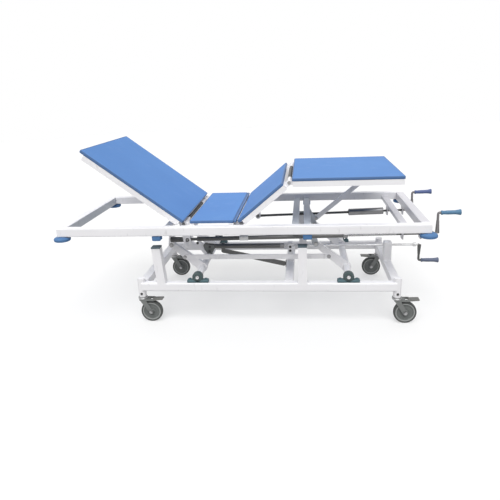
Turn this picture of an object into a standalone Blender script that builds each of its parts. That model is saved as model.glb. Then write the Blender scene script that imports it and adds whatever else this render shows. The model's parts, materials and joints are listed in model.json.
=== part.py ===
"""Three-crank hospital bed: a four-section platform on a tubular frame that a linkage lifts.

Lengths are in metres and angles in degrees. X runs from the head end to the foot end, Y from the
near side to the far side and Z upwards from the floor. Sizes along the bed are measured from the
head end; one empty then moves the whole bed so that the origin is under the middle of its box.
The pose is the photographed one: backrest up, knee up, bed almost fully lowered.
"""
import math

import bmesh
import bpy
from mathutils import Matrix, Vector

# Clearances
GAP = 0.0003
RUN_CLEARANCE = 0.0003
SCREW_CLEARANCE = 0.0006

# Main frame
FRAME_LENGTH = 2.100
FRAME_WIDTH = 0.900
TUBE = 0.050
TUBE_EDGE = 0.005
RAIL_TOP = 0.600
CROSS_DEPTH = 0.025
CROSS_WIDTH = 0.040
HEAD_LIFT_BAR_X = 0.622
MID_BAR_X = 1.371
FOOT_LIFT_BAR_X = 1.438
CRANK_BAR_INSET = 0.125

# Platform sections
PANEL_WIDTH = 0.780
PANEL_THICK = 0.016
PANEL_CORNER = 0.010
PANEL_EDGE = 0.003
SECTION_TUBE = 0.030
BACK_PIVOT_X = 0.728
BACK_ANGLE = 37.0
BACK_PANEL_START = 0.010
BACK_PANEL_LENGTH = 0.693
BACK_FRAME_LENGTH = 0.643
SEAT_START_X = 0.771
SEAT_LENGTH = 0.254
THIGH_PIVOT_X = 1.062
THIGH_ANGLE = 39.5
THIGH_PANEL_START = 0.003
THIGH_PANEL_LENGTH = 0.331
THIGH_LINK = 0.360
THIGH_FRAME_LENGTH = 0.304
FOOT_PANEL_START = 0.016
FOOT_PANEL_LENGTH = 0.604
FOOT_FRAME_START = 0.020
FOOT_FRAME_LENGTH = 0.596
FRAME_START = 0.028

# Section hinges
HINGE_Y = 0.330
EYE_WIDTH = 0.020
EYE_RADIUS = 0.013
EAR_WALL = 0.006
EAR_RADIUS = 0.012
PIN_RADIUS = 0.006
PIN_HEAD = 0.0015

# Strut that keeps the foot section level
STRUT_AHEAD = 0.433
STRUT_BELOW = 0.0623
STRUT_WIDTH = 0.016
STRUT_RADIUS = 0.013

# Base frame
BASE_WIDTH = 0.830
BASE_START_X = 0.430
BASE_LENGTH = 1.537
BASE_LOW = 0.200
MID_BASE_X = 1.330
SLEEVE_RADIUS = 0.0225
SLEEVE_LOW = 0.160
SLEEVE_TOP = 0.275
HEAD_POST_X = 0.582
HEAD_POST_LEAN = 0.017
FOOT_POST_X = 1.410
POST_TOP = 0.470
CRANK_POST_TOP = 0.372

# Stops and corner bumpers
STOP_HEIGHT = 0.030
STOP_LENGTH = 0.050
STOP_WIDTH = 0.045
HEAD_STOP_X = 0.585
FOOT_STOP_X = 1.439
BUMPER_RADIUS = 0.0475
BUMPER_THICK = 0.026
BUMPER_SIDE_INSET = 0.020
HEAD_BUMPER_INSET = 0.022
FOOT_BUMPER_INSET = 0.013

# Height lift
HEAD_SHAFT_X = 0.797
SHAFT_PITCH = 0.873
BLOCK_HEIGHT = 0.0333
BLOCK_HALF_LENGTH = 0.0635
BLOCK_FOOT = 0.018
BLOCK_HOUSING = 0.031
BLOCK_WIDTH = 0.034
JOURNAL_RADIUS = 0.010
JOURNAL_PROUD = 0.002
TORQUE_RADIUS = 0.0215
ARM_Y = 0.220
ARM_LENGTH = 0.235
ARM_ANGLE = 39.0
ARM_WIDTH = 0.026
ARM_FOOT_RADIUS = 0.028
ARM_TOP_RADIUS = 0.017
HANGER_WALL = 0.007
HANGER_RADIUS = 0.018
HANGER_PIN_RADIUS = 0.008
TIE_RUN = 0.105
TIE_RISE = 0.0705
TIE_RADIUS = 0.0145
TIE_WALL = 0.008
TIE_PIN_RADIUS = 0.007
LIFT_LEVER_LEAN = 13.65
LIFT_LEVER_RISE = 0.0637
LEVER_WALL = 0.005
LEVER_RIM = 0.0085
LIFT_LEVER_SLOT = 0.0085
LIFT_LEVER_SLACK = 0.0030
LIFT_LEVER_LEAD = 0.001
STAY_COLLAR_X = 0.892
STAY_COLLAR_LENGTH = 0.020
STAY_HALF_HEIGHT = 0.015
STAY_WIDTH = 0.012
STAY_PAD = 0.040

# Screw drives and cranks
DRIVE_Y = 0.280
DRIVE_BELOW_RAIL = 0.100
SCREW_RADIUS = 0.007
CRANK_BEND = 0.014
CRANK_ARM = 0.118
LIFT_CRANK_ARM = 0.103
BACK_CRANK_OUT = 0.068
KNEE_CRANK_OUT = 0.037
LIFT_CRANK_OUT = 0.171
GRIP_LENGTH = 0.115
GRIP_ROOT_RADIUS = 0.0125
GRIP_WAIST_RADIUS = 0.0105
GRIP_END_RADIUS = 0.0165
GRIP_CLEAR = 0.008
BEARING_WALL = 0.008
BEARING_HALF_WIDTH = 0.026
BACK_LEVER = 0.110
BACK_LEVER_SLOT = 0.030
BACK_LEVER_SLACK = 0.0055
KNEE_LEVER = 0.120
KNEE_LEVER_LEAN = 19.75
KNEE_LEVER_SLOT = 0.011
KNEE_LEVER_SLACK = 0.0035
KNEE_LEVER_LEAD = 0.002
ROD_EYE_WIDTH = 0.012
ROD_EYE_LENGTH = 0.050
ROD_EYE_TAIL = 0.0075
ROD_NECK_START = 0.036
ROD_NECK_END = 0.052
ROD_SHOULDER = 0.057
BACK_TUBE_RADIUS = 0.013
BACK_TUBE_BACK = 0.305
BACK_BORE_BACK = 0.585
BACK_SCREW_BACK = 0.465
KNEE_ROD_RADIUS = 0.008
KNEE_NUT_RADIUS = 0.0225
KNEE_NUT_BACK = 0.255
KNEE_TUBE_BACK = 0.025
KNEE_BORE_BACK = 0.245
KNEE_SCREW_BACK = 0.225
LIFT_TUBE_RADIUS = 0.016
LIFT_TUBE_END_X = 1.290
LIFT_BORE_X = 1.030
LIFT_SCREW_X = 1.100
TUBE_BORE_RADIUS = 0.0092

# Castors
WHEEL_RADIUS = 0.0650
WHEEL_WIDTH = 0.032
HUB_WIDTH = 0.0374
HUB_RADIUS = 0.016
WEB_RADIUS = 0.042
TYRE_RADIUS = 0.047
TYRE_EDGE = 0.004
CASTOR_TRAIL = 0.048
AXLE_RADIUS = 0.006
STEM_RADIUS = 0.0107
STEM_LENGTH = 0.060
FORK_WALL = 0.004
FORK_HEAD_RADIUS = 0.026
FORK_LEG_RADIUS = 0.013
FORK_BACK = 0.012
FORK_STEP = 0.001
FORK_CLEAR = 0.006
FORK_BRIDGE = 0.013
PEDAL_PIVOT_X = 0.066
PEDAL_LENGTH = 0.054
PEDAL_BOSS = 0.006
PEDAL_TIP = 0.004
PEDAL_RISE = 0.003

# Facets
ARC_POINTS = 12
TURN_STEPS = 16
ROUND_SIDES = 16
PIN_SIDES = 12

# Places worked out from the sizes above
HALF_WIDTH = FRAME_WIDTH / 2
INNER_HALF = HALF_WIDTH - TUBE
RAIL_LOW = RAIL_TOP - TUBE
CROSS_TOP = RAIL_LOW + CROSS_DEPTH
PIVOT_Z = CROSS_TOP + GAP + SECTION_TUBE / 2
PANEL_LOW = SECTION_TUBE / 2 + GAP
BASE_HALF = BASE_WIDTH / 2
BASE_INNER = BASE_HALF - TUBE
BASE_MID_Y = BASE_HALF - TUBE / 2
BASE_TOP = BASE_LOW + TUBE
BASE_END_X = BASE_START_X + BASE_LENGTH
SHAFT_Z = BASE_TOP + GAP + BLOCK_HEIGHT
FOOT_SHAFT_X = HEAD_SHAFT_X + SHAFT_PITCH
ARM_RUN = ARM_LENGTH * math.cos(math.radians(ARM_ANGLE))
ARM_RISE = ARM_LENGTH * math.sin(math.radians(ARM_ANGLE))
TIE_Y = ARM_Y + ARM_WIDTH / 2 + RUN_CLEARANCE + TIE_WALL / 2
DRIVE_Z = RAIL_TOP - DRIVE_BELOW_RAIL
BACK_PIN_Z = PIVOT_Z - BACK_LEVER
KNEE_PIN_DROP = KNEE_LEVER * math.cos(math.radians(KNEE_LEVER_LEAN))
KNEE_PIN_X = THIGH_PIVOT_X + KNEE_LEVER * math.sin(math.radians(KNEE_LEVER_LEAN))
KNEE_PIN_Z = PIVOT_Z - KNEE_PIN_DROP
LIFT_DRIVE_Z = SHAFT_Z + LIFT_LEVER_RISE
LIFT_PIN_X = HEAD_SHAFT_X - LIFT_LEVER_RISE * math.tan(math.radians(LIFT_LEVER_LEAN))
CRANK_POST_X = BASE_END_X - TUBE / 2
SLEEVE_HEAD_X = BASE_START_X + SLEEVE_RADIUS
SLEEVE_FOOT_X = BASE_END_X - SLEEVE_RADIUS
CRANK_BAR_X = FRAME_LENGTH - CRANK_BAR_INSET
BEARING_X = CRANK_BAR_X
BACK_CRANK_X = FRAME_LENGTH + BACK_CRANK_OUT
KNEE_CRANK_X = FRAME_LENGTH + KNEE_CRANK_OUT
LIFT_CRANK_X = BASE_END_X + LIFT_CRANK_OUT
BACK_SLOPE = math.atan2(DRIVE_Z - BACK_PIN_Z, BEARING_X - BACK_PIVOT_X)
KNEE_SLOPE = math.atan2(DRIVE_Z - KNEE_PIN_Z, BEARING_X - KNEE_PIN_X)


def reach_of_drive(slope, crank_x, arm):
    """How far along the bed the grip of a sloping drive reaches."""
    along = crank_x - BEARING_X + GRIP_CLEAR + GRIP_LENGTH
    outer = arm + GRIP_END_RADIUS
    return BEARING_X + along * math.cos(slope) - (outer - 2 * GRIP_END_RADIUS) * math.sin(slope)


BOX_LOW_X = HEAD_BUMPER_INSET - BUMPER_RADIUS
BOX_HIGH_X = max(
    reach_of_drive(BACK_SLOPE, BACK_CRANK_X, CRANK_ARM), reach_of_drive(KNEE_SLOPE, KNEE_CRANK_X, CRANK_ARM))
MIDDLE_X = (BOX_LOW_X + BOX_HIGH_X) / 2

WHITE = ((0.83, 0.82, 0.86), 0.38, 0.0)
PANEL_BLUE = ((0.115, 0.305, 0.70), 0.52, 0.0)
STOP_BLUE = ((0.055, 0.135, 0.37), 0.60, 0.0)
GRIP_BLUE = ((0.045, 0.125, 0.36), 0.42, 0.0)
CAST_TEAL = ((0.045, 0.095, 0.125), 0.48, 0.3)
DARK_STEEL = ((0.045, 0.045, 0.05), 0.42, 0.8)
BRIGHT_STEEL = ((0.60, 0.60, 0.61), 0.24, 1.0)
CASTOR_STEEL = ((0.48, 0.48, 0.48), 0.36, 0.9)
WHEEL_GREY = ((0.055, 0.06, 0.06), 0.65, 0.0)


def start_scene():
    """Empties the scene and makes one collection for the bed and one for its tools."""
    for obj in list(bpy.data.objects):
        bpy.data.objects.remove(obj, do_unlink=True)
    made = []
    for name in ("hospital_bed", "bed_tools"):
        collection = bpy.data.collections.new(name)
        bpy.context.scene.collection.children.link(collection)
        made.append(collection)
    return made


PARTS, TOOLS = start_scene()
CARRIERS = {}


def carrier(name, place, turn=0.0, parent=None):
    """Empty on a joint's axis; place is in bed coordinates, turn is about +Y in radians."""
    empty = bpy.data.objects.new("at_" + name, None)
    empty.empty_display_size = 0.05
    PARTS.objects.link(empty)
    in_bed = Matrix.Translation(Vector(place)) @ Matrix.Rotation(turn, 4, "Y")
    local = in_bed
    if parent:
        above, above_in_bed = CARRIERS[parent]
        empty.parent = above
        local = above_in_bed.inverted() @ in_bed
    empty.matrix_local = local
    CARRIERS[name] = (empty, in_bed)


def work_piece(mesh):
    """Wraps a mesh in an object that waits among the tools."""
    piece = bpy.data.objects.new("tool", mesh)
    piece.hide_render = True
    piece.display_type = "WIRE"
    TOOLS.objects.link(piece)
    return piece


def weld(mesh, reach):
    """Closes the seams of a mesh, joins its coplanar faces and points them outwards."""
    shape = bmesh.new()
    shape.from_mesh(mesh)
    bmesh.ops.remove_doubles(shape, verts=shape.verts, dist=reach)
    bmesh.ops.dissolve_limit(
        shape, angle_limit=math.radians(0.05), verts=shape.verts, edges=shape.edges)
    bmesh.ops.recalc_face_normals(shape, faces=shape.faces)
    shape.to_mesh(mesh)
    shape.free()


def settled(piece, seam=0.00001):
    """Turns a curve or a mesh with modifiers into a plain welded mesh object."""
    graph = bpy.context.evaluated_depsgraph_get()
    mesh = bpy.data.meshes.new_from_object(piece.evaluated_get(graph))
    mesh.transform(piece.matrix_basis)
    weld(mesh, seam)
    bpy.data.objects.remove(piece, do_unlink=True)
    return work_piece(mesh)


def combined(operation, piece, others):
    """Joins or cuts a piece with others, which are used up."""
    for other in others:
        step = piece.modifiers.new(operation.lower(), "BOOLEAN")
        step.operation = operation
        step.object = other
    result = settled(piece, 0.0000001)
    for other in others:
        bpy.data.objects.remove(other, do_unlink=True)
    return result


def fused(piece, others):
    """One body from a piece and what is welded to it."""
    return combined("UNION", piece, others)


def cut(piece, others):
    """A piece with the others taken away from it."""
    return combined("DIFFERENCE", piece, others)


def block(low, high, edge=0.0, segments=2):
    """Box between two corners, with rounded edges where edge is given."""
    mesh = bpy.data.meshes.new("block")
    shape = bmesh.new()
    bmesh.ops.create_cube(shape, size=1.0)
    bmesh.ops.scale(shape, vec=Vector(high) - Vector(low), verts=shape.verts)
    bmesh.ops.translate(shape, vec=(Vector(high) + Vector(low)) / 2, verts=shape.verts)
    shape.to_mesh(mesh)
    shape.free()
    piece = work_piece(mesh)
    if not edge:
        return piece
    rounding = piece.modifiers.new("edge", "BEVEL")
    rounding.width = edge
    rounding.segments = segments
    return settled(piece)


def rod(radius, start, end, sides=ROUND_SIDES):
    """Round bar between two points."""
    run = Vector(end) - Vector(start)
    mesh = bpy.data.meshes.new("rod")
    shape = bmesh.new()
    bmesh.ops.create_cone(
        shape, cap_ends=True, segments=sides, radius1=radius, radius2=radius, depth=run.length)
    turn = Vector((0.0, 0.0, 1.0)).rotation_difference(run).to_matrix().to_4x4()
    shape.transform(Matrix.Translation((Vector(start) + Vector(end)) / 2) @ turn)
    shape.to_mesh(mesh)
    shape.free()
    return work_piece(mesh)


def ring(centre, radius, count=PIN_SIDES):
    """Points of a circle."""
    angles = [2 * math.pi * step / count for step in range(count)]
    return [(centre[0] + radius * math.cos(a), centre[1] + radius * math.sin(a)) for a in angles]


def hull(*circles):
    """Outline of the tight band round circles given as (x, z, radius)."""
    points = sorted(p for x, z, r in circles for p in ring((x, z), r, ARC_POINTS))
    sides = []
    for ordered in (points, points[::-1]):
        side = []
        for point in ordered:
            while len(side) > 1 and turns_right(side[-2], side[-1], point):
                side.pop()
            side.append(point)
        sides += side[:-1]
    return sides


def turns_right(a, b, c):
    """Whether the path from a through b to c bends right or runs straight on."""
    return (b[0] - a[0]) * (c[1] - a[1]) - (b[1] - a[1]) * (c[0] - a[0]) <= 2e-8


def plate(outlines, thickness, middle, flat=False, edge=0.0):
    """Plate from an outline and its holes: upright along XZ at Y = middle, or flat at Z = middle."""
    curve = bpy.data.curves.new("plate", "CURVE")
    curve.dimensions = "2D"
    curve.fill_mode = "BOTH"
    curve.extrude = thickness / 2 - edge
    curve.bevel_depth = edge
    curve.bevel_resolution = 1
    curve.offset = -edge
    for outline in outlines:
        spline = curve.splines.new("POLY")
        spline.points.add(len(outline) - 1)
        for point, (across, up) in zip(spline.points, outline):
            point.co = (across, up, 0.0, 1.0)
        spline.use_cyclic_u = True
    piece = bpy.data.objects.new("plate", curve)
    TOOLS.objects.link(piece)
    if flat:
        piece.matrix_basis = Matrix.Translation((0.0, 0.0, middle))
    else:
        piece.matrix_basis = Matrix.Translation((0.0, middle, 0.0)) @ Matrix.Rotation(math.pi / 2, 4, "X")
    return settled(piece)


def turned(profile, along="Z", bored=False, steps=TURN_STEPS):
    """Turned piece from (radius, height) points that run top to bottom on the outer side."""
    points = [(radius, 0.0, height) for radius, height in profile]
    edges = [(i, i + 1) for i in range(len(points) - 1)]
    if bored:
        edges.append((len(points) - 1, 0))
    mesh = bpy.data.meshes.new("profile")
    mesh.from_pydata(points, edges, [])
    piece = work_piece(mesh)
    lathe = piece.modifiers.new("lathe", "SCREW")
    lathe.steps = steps
    lathe.render_steps = steps
    lathe.use_merge_vertices = True
    lathe.merge_threshold = 0.00001
    turns = {
        "X": Matrix.Rotation(math.pi / 2, 4, "Y"),
        "Y": Matrix.Rotation(-math.pi / 2, 4, "X"),
        "Z": Matrix.Identity(4),
    }
    piece.matrix_basis = turns[along]
    return settled(piece)


def bent_rod(corners, radius, bend):
    """Round bar along straight runs whose corners are bent to a radius."""
    route = [Vector(corners[0])]
    for before, corner, after in zip(corners, corners[1:], corners[2:]):
        back = (Vector(before) - Vector(corner)).normalized()
        ahead = (Vector(after) - Vector(corner)).normalized()
        centre = Vector(corner) + (back + ahead) * bend
        for step in range(5):
            angle = math.pi / 2 * step / 4
            route.append(centre - ahead * bend * math.cos(angle) - back * bend * math.sin(angle))
    route.append(Vector(corners[-1]))
    curve = bpy.data.curves.new("rod", "CURVE")
    curve.dimensions = "3D"
    curve.bevel_depth = radius
    curve.bevel_resolution = 2
    curve.use_fill_caps = True
    spline = curve.splines.new("POLY")
    spline.points.add(len(route) - 1)
    for point, place in zip(spline.points, route):
        point.co = (*place, 1.0)
    piece = bpy.data.objects.new("rod", curve)
    TOOLS.objects.link(piece)
    return settled(piece)


def moved(piece, place, turn=None):
    """Shifts a working piece's mesh, after an optional turn."""
    piece.data.transform(Matrix.Translation(Vector(place)) @ (turn or Matrix.Identity(4)))
    return piece


def finished(name, piece, look, rides, in_bed=True, smooth=30.0):
    """Names a piece, gives it its own material and hangs it on the carrier that it rides."""
    colour, roughness, metallic = look
    material = bpy.data.materials.new(name)
    material.use_nodes = True
    shader = material.node_tree.nodes["Principled BSDF"]
    shader.inputs["Base Color"].default_value = (*colour, 1.0)
    shader.inputs["Roughness"].default_value = roughness
    shader.inputs["Metallic"].default_value = metallic
    piece.name = name
    piece.data.name = name
    piece.data.materials.clear()
    piece.data.materials.append(material)
    piece.data.shade_smooth()
    piece.data.set_sharp_from_angle(angle=math.radians(smooth))
    piece.hide_render = False
    piece.display_type = "TEXTURED"
    TOOLS.objects.unlink(piece)
    PARTS.objects.link(piece)
    empty, empty_in_bed = CARRIERS[rides]
    piece.parent = empty
    piece.matrix_local = empty_in_bed.inverted() if in_bed else Matrix.Identity(4)


def clevis(pivot, root, eye_width, y, wall=EAR_WALL, eye=EAR_RADIUS, foot=EAR_RADIUS, pin=PIN_RADIUS):
    """Two ears from root (x, z) to pivot (x, z) on both sides of an eye, with their pin."""
    reach = eye_width / 2 + RUN_CLEARANCE + wall
    outline = hull((*pivot, eye), (*root, foot))
    ears = [plate([outline], wall, y + side * (reach - wall / 2)) for side in (-1, 1)]
    reach -= wall / 2
    pin_rod = rod(pin, (pivot[0], y - reach, pivot[1]), (pivot[0], y + reach, pivot[1]), PIN_SIDES)
    return [*ears, pin_rod]


def eye_plate(pivot, root, width, y, eye=EYE_RADIUS, foot=EYE_RADIUS, pin=PIN_RADIUS):
    """Link end from root (x, z) to a bored eye at pivot (x, z)."""
    outline = hull((*pivot, eye), (*root, foot))
    return plate([outline, ring(pivot, pin + RUN_CLEARANCE)], width, y)


def rectangle(x0, x1, half_y, corner=0.0):
    """Outline of a rectangle about the middle line, with arcs at its corners."""
    if not corner:
        return [(x0, -half_y), (x1, -half_y), (x1, half_y), (x0, half_y)]
    points = []
    for x, y, start in ((x1, half_y, 0.0), (x0, half_y, 0.5), (x0, -half_y, 1.0), (x1, -half_y, 1.5)):
        centre_x = x - corner if x == x1 else x + corner
        centre_y = y - math.copysign(corner, y)
        for step in range(4):
            angle = math.pi * (start + 0.5 * step / 3)
            points.append((centre_x + corner * math.cos(angle), centre_y + corner * math.sin(angle)))
    return points


def ladder(start, end, bars):
    """Flat ring frame of a section with bars across it at the given places."""
    low, high = min(start, end), max(start, end)
    side_y = PANEL_WIDTH / 2
    places = sorted(bars)
    holes = [
        rectangle(left + SECTION_TUBE / 2, right - SECTION_TUBE / 2, side_y - SECTION_TUBE)
        for left, right in zip(places, places[1:])
    ]
    return plate([rectangle(low, high, side_y), *holes], SECTION_TUBE, 0.0, flat=True)


def panel(start, end):
    """Blue board of a section, on top of its frame."""
    low, high = min(start, end), max(start, end)
    outline = rectangle(low, high, PANEL_WIDTH / 2, PANEL_CORNER)
    return plate([outline], PANEL_THICK, PANEL_LOW + PANEL_THICK / 2, flat=True, edge=PANEL_EDGE)


def lever_plates(root, direction, near, slot, y, eye_width, slack):
    """Two slotted plates from root (x, z); the slot starts near along direction from the axis."""
    ends = [(direction[0] * d, direction[1] * d) for d in (near, near + slot)]
    opening = PIN_RADIUS + slack
    wall = opening + LEVER_RIM
    outline = hull((*root, EYE_RADIUS), *((*end, wall) for end in ends))
    gap = hull(*((*end, opening) for end in ends))
    offset = eye_width / 2 + RUN_CLEARANCE + LEVER_WALL / 2
    return [plate([outline, gap], LEVER_WALL, y + side * offset) for side in (-1, 1)]


def make_carriers():
    """Empties on every joint's axis, nested as the moving bodies are."""
    root = bpy.data.objects.new("bed_middle", None)
    PARTS.objects.link(root)
    root.location = (-MIDDLE_X, 0.0, 0.0)
    CARRIERS["bed"] = (root, Matrix.Identity(4))
    back_turn = math.radians(BACK_ANGLE)
    thigh_turn = -math.radians(THIGH_ANGLE)
    knee = (
        THIGH_PIVOT_X + THIGH_LINK * math.cos(thigh_turn),
        0.0,
        PIVOT_Z - THIGH_LINK * math.sin(thigh_turn),
    )
    carrier("head_lift", (HEAD_SHAFT_X, 0.0, SHAFT_Z), parent="bed")
    carrier("foot_lift", (FOOT_SHAFT_X, 0.0, SHAFT_Z), parent="bed")
    carrier("tie", (HEAD_SHAFT_X - TIE_RUN, 0.0, SHAFT_Z + TIE_RISE), parent="head_lift")
    carrier("upper", (HEAD_SHAFT_X - ARM_RUN, 0.0, SHAFT_Z + ARM_RISE), parent="head_lift")
    carrier("backrest", (BACK_PIVOT_X, 0.0, PIVOT_Z), back_turn, "upper")
    carrier("thigh", (THIGH_PIVOT_X, 0.0, PIVOT_Z), thigh_turn, "upper")
    carrier("foot", knee, 0.0, "thigh")
    strut_root = (THIGH_PIVOT_X + STRUT_AHEAD, 0.0, PIVOT_Z - STRUT_BELOW)
    carrier("strut", strut_root, thigh_turn, "upper")
    carrier("back_drive", (BEARING_X, -DRIVE_Y, DRIVE_Z), -BACK_SLOPE, "upper")
    carrier("knee_drive", (BEARING_X, DRIVE_Y, DRIVE_Z), -KNEE_SLOPE, "upper")
    carrier("lift_drive", (CRANK_POST_X, 0.0, LIFT_DRIVE_Z), 0.0, "bed")
    for drive, arm, along in (
        ("back", CRANK_ARM, BACK_CRANK_X - BEARING_X),
        ("knee", CRANK_ARM, KNEE_CRANK_X - BEARING_X),
        ("lift", -LIFT_CRANK_ARM, LIFT_CRANK_X - CRANK_POST_X),
    ):
        empty_in_bed = CARRIERS[drive + "_drive"][1]
        place = empty_in_bed @ Vector((along, 0.0, arm))
        carrier(drive + "_grip", place, empty_in_bed.to_euler().y, drive + "_drive")
    for end, x in (("head", SLEEVE_HEAD_X), ("foot", SLEEVE_FOOT_X)):
        for side, y in (("near", -BASE_MID_Y), ("far", BASE_MID_Y)):
            carrier(side + "_" + end + "_castor", (x, y, 0.0), parent="bed")
    bumper_y = HALF_WIDTH - BUMPER_SIDE_INSET
    for end, x in (("head", HEAD_BUMPER_INSET), ("foot", FRAME_LENGTH - FOOT_BUMPER_INSET)):
        for side, y in (("near", -bumper_y), ("far", bumper_y)):
            carrier(side + "_" + end + "_bumper", (x, y, RAIL_LOW), parent="upper")


def crossbar(x, width, low, high):
    """Tube across the frame, between the inner faces of the long rails."""
    reach = INNER_HALF - GAP
    return block((x - width / 2, -reach, low), (x + width / 2, reach, high), TUBE_EDGE / 2, 1)


def bearing_plates(x, low_from):
    """Plates that hang from a bar and carry the two upper drives, with the bores they need."""
    plates, bores = [], []
    for y, slope in ((-DRIVE_Y, BACK_SLOPE), (DRIVE_Y, KNEE_SLOPE)):
        z = DRIVE_Z + (x - BEARING_X) * math.tan(slope)
        reach = BEARING_HALF_WIDTH
        low = (x - BEARING_WALL / 2, y - reach, z - reach)
        high = (x + BEARING_WALL / 2, y + reach, low_from + TUBE_EDGE)
        plates.append(block(low, high))
        along = Vector((math.cos(slope), 0.0, math.sin(slope))) * BEARING_WALL
        centre = Vector((x, y, z))
        bores.append(rod(SCREW_RADIUS + SCREW_CLEARANCE, centre - along, centre + along))
    return plates, bores


def hangers(bar_x, pivot_x):
    """Ears under a lift crossbar that hold the tops of the near and far arms."""
    pivot = (pivot_x, SHAFT_Z + ARM_RISE)
    pieces = []
    for y in (-ARM_Y, ARM_Y):
        pieces += clevis(
            pivot, (bar_x, RAIL_LOW + CROSS_DEPTH / 2), ARM_WIDTH, y,
            HANGER_WALL, HANGER_RADIUS, CROSS_DEPTH * 0.4, HANGER_PIN_RADIUS)
    return pieces


def make_upper_frame():
    """Long rails, end rails and the bars between them."""
    for name, y in (("near_rail", -HALF_WIDTH), ("far_rail", INNER_HALF)):
        rail = block((0.0, y, RAIL_LOW), (FRAME_LENGTH, y + TUBE, RAIL_TOP), TUBE_EDGE)
        finished(name, rail, WHITE, "upper")
    finished("head_rail", crossbar(TUBE / 2, TUBE, RAIL_LOW, RAIL_TOP), WHITE, "upper")
    foot_rail_x = FRAME_LENGTH - TUBE / 2
    plates, bores = bearing_plates(foot_rail_x, RAIL_LOW)
    foot_rail = fused(crossbar(foot_rail_x, TUBE, RAIL_LOW, RAIL_TOP), plates)
    finished("foot_rail", cut(foot_rail, bores), WHITE, "upper")

    head_pivot_x = HEAD_SHAFT_X - ARM_RUN
    bar = crossbar(HEAD_LIFT_BAR_X, CROSS_WIDTH, RAIL_LOW, CROSS_TOP)
    finished("head_lift_crossbar", fused(bar, hangers(HEAD_LIFT_BAR_X, head_pivot_x)), WHITE, "upper")
    finished("mid_crossbar", crossbar(MID_BAR_X, CROSS_WIDTH, RAIL_LOW, CROSS_TOP), WHITE, "upper")
    bar = crossbar(FOOT_LIFT_BAR_X, CROSS_WIDTH, RAIL_LOW, CROSS_TOP)
    strut_root = (THIGH_PIVOT_X + STRUT_AHEAD, PIVOT_Z - STRUT_BELOW)
    bar_middle = (FOOT_LIFT_BAR_X, RAIL_LOW + CROSS_DEPTH / 2)
    strut_clevis = clevis(strut_root, bar_middle, STRUT_WIDTH, 0.0, foot=CROSS_DEPTH * 0.4)
    bar = fused(bar, [*hangers(FOOT_LIFT_BAR_X, head_pivot_x + SHAFT_PITCH), *strut_clevis])
    finished("foot_lift_crossbar", bar, WHITE, "upper")
    plates, bores = bearing_plates(CRANK_BAR_X, RAIL_LOW)
    bar = fused(crossbar(CRANK_BAR_X, CROSS_WIDTH, RAIL_LOW, CROSS_TOP), plates)
    finished("crank_crossbar", cut(bar, bores), WHITE, "upper")


def make_stops_and_bumpers():
    """Blue blocks that come down on the base posts, and the round corner bumpers."""
    high = RAIL_LOW - GAP
    for end, x in (("head", HEAD_STOP_X), ("foot", FOOT_STOP_X)):
        for side, sign in (("near", -1), ("far", 1)):
            outer = sign * (HALF_WIDTH - TUBE_EDGE)
            inner = outer - sign * STOP_WIDTH
            low = (x - STOP_LENGTH / 2, min(inner, outer), high - STOP_HEIGHT)
            stop = block(low, (x + STOP_LENGTH / 2, max(inner, outer), high), 0.004, 1)
            finished(side + "_" + end + "_stop", stop, STOP_BLUE, "upper")
    rounding = BUMPER_THICK / 3
    for end in ("head", "foot"):
        for side in ("near", "far"):
            name = side + "_" + end + "_bumper"
            bumper = turned([
                (0.0, -GAP),
                (BUMPER_RADIUS * 0.55, -GAP),
                (BUMPER_RADIUS - rounding, -BUMPER_THICK * 0.35),
                (BUMPER_RADIUS, -BUMPER_THICK * 0.60),
                (BUMPER_RADIUS - rounding / 2, -BUMPER_THICK * 0.9),
                (BUMPER_RADIUS - rounding, -BUMPER_THICK),
                (0.0, -BUMPER_THICK),
            ], steps=20)
            finished(name, bumper, STOP_BLUE, name, in_bed=False)


def make_seat():
    """Fixed seat board on two bars that also carry the hinges of its neighbours."""
    half = SECTION_TUBE / 2
    seat_end = SEAT_START_X + SEAT_LENGTH
    for name, x, pivot_x in (
        ("seat_head_bar", SEAT_START_X + half, BACK_PIVOT_X),
        ("seat_foot_bar", seat_end - half, THIGH_PIVOT_X),
    ):
        bar = crossbar(x, SECTION_TUBE, PIVOT_Z - half, PIVOT_Z + half)
        ears = []
        for y in (-HINGE_Y, HINGE_Y):
            ears += clevis((pivot_x, PIVOT_Z), (x, PIVOT_Z), EYE_WIDTH, y)
        finished(name, fused(bar, ears), WHITE, "upper")
    board = panel(SEAT_START_X, seat_end)
    finished("seat_panel", moved(board, (0.0, 0.0, PIVOT_Z)), PANEL_BLUE, "upper")


def section_eyes(pivot_x, bar_x):
    """Hinge eyes of a section, at both hinge places."""
    return [eye_plate((pivot_x, 0.0), (bar_x, 0.0), EYE_WIDTH, y) for y in (-HINGE_Y, HINGE_Y)]


def make_backrest():
    """Backrest frame with its hinge eyes and slotted drive lever, and its board."""
    half = SECTION_TUBE / 2
    first = -(FRAME_START + half)
    end = -(FRAME_START + BACK_FRAME_LENGTH)
    frame = ladder(-FRAME_START, end, [first, (first + end) / 2, end + half])
    turn = math.radians(BACK_ANGLE)
    direction = (math.sin(turn), -math.cos(turn))
    lever = lever_plates(
        (first, 0.0), direction, BACK_LEVER, BACK_LEVER_SLOT, -DRIVE_Y, ROD_EYE_WIDTH, BACK_LEVER_SLACK)
    frame = fused(frame, [*section_eyes(0.0, first), *lever])
    finished("backrest_frame", frame, WHITE, "backrest", in_bed=False)
    board = panel(-BACK_PANEL_START, -(BACK_PANEL_START + BACK_PANEL_LENGTH))
    finished("backrest_panel", board, PANEL_BLUE, "backrest", in_bed=False)


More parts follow.
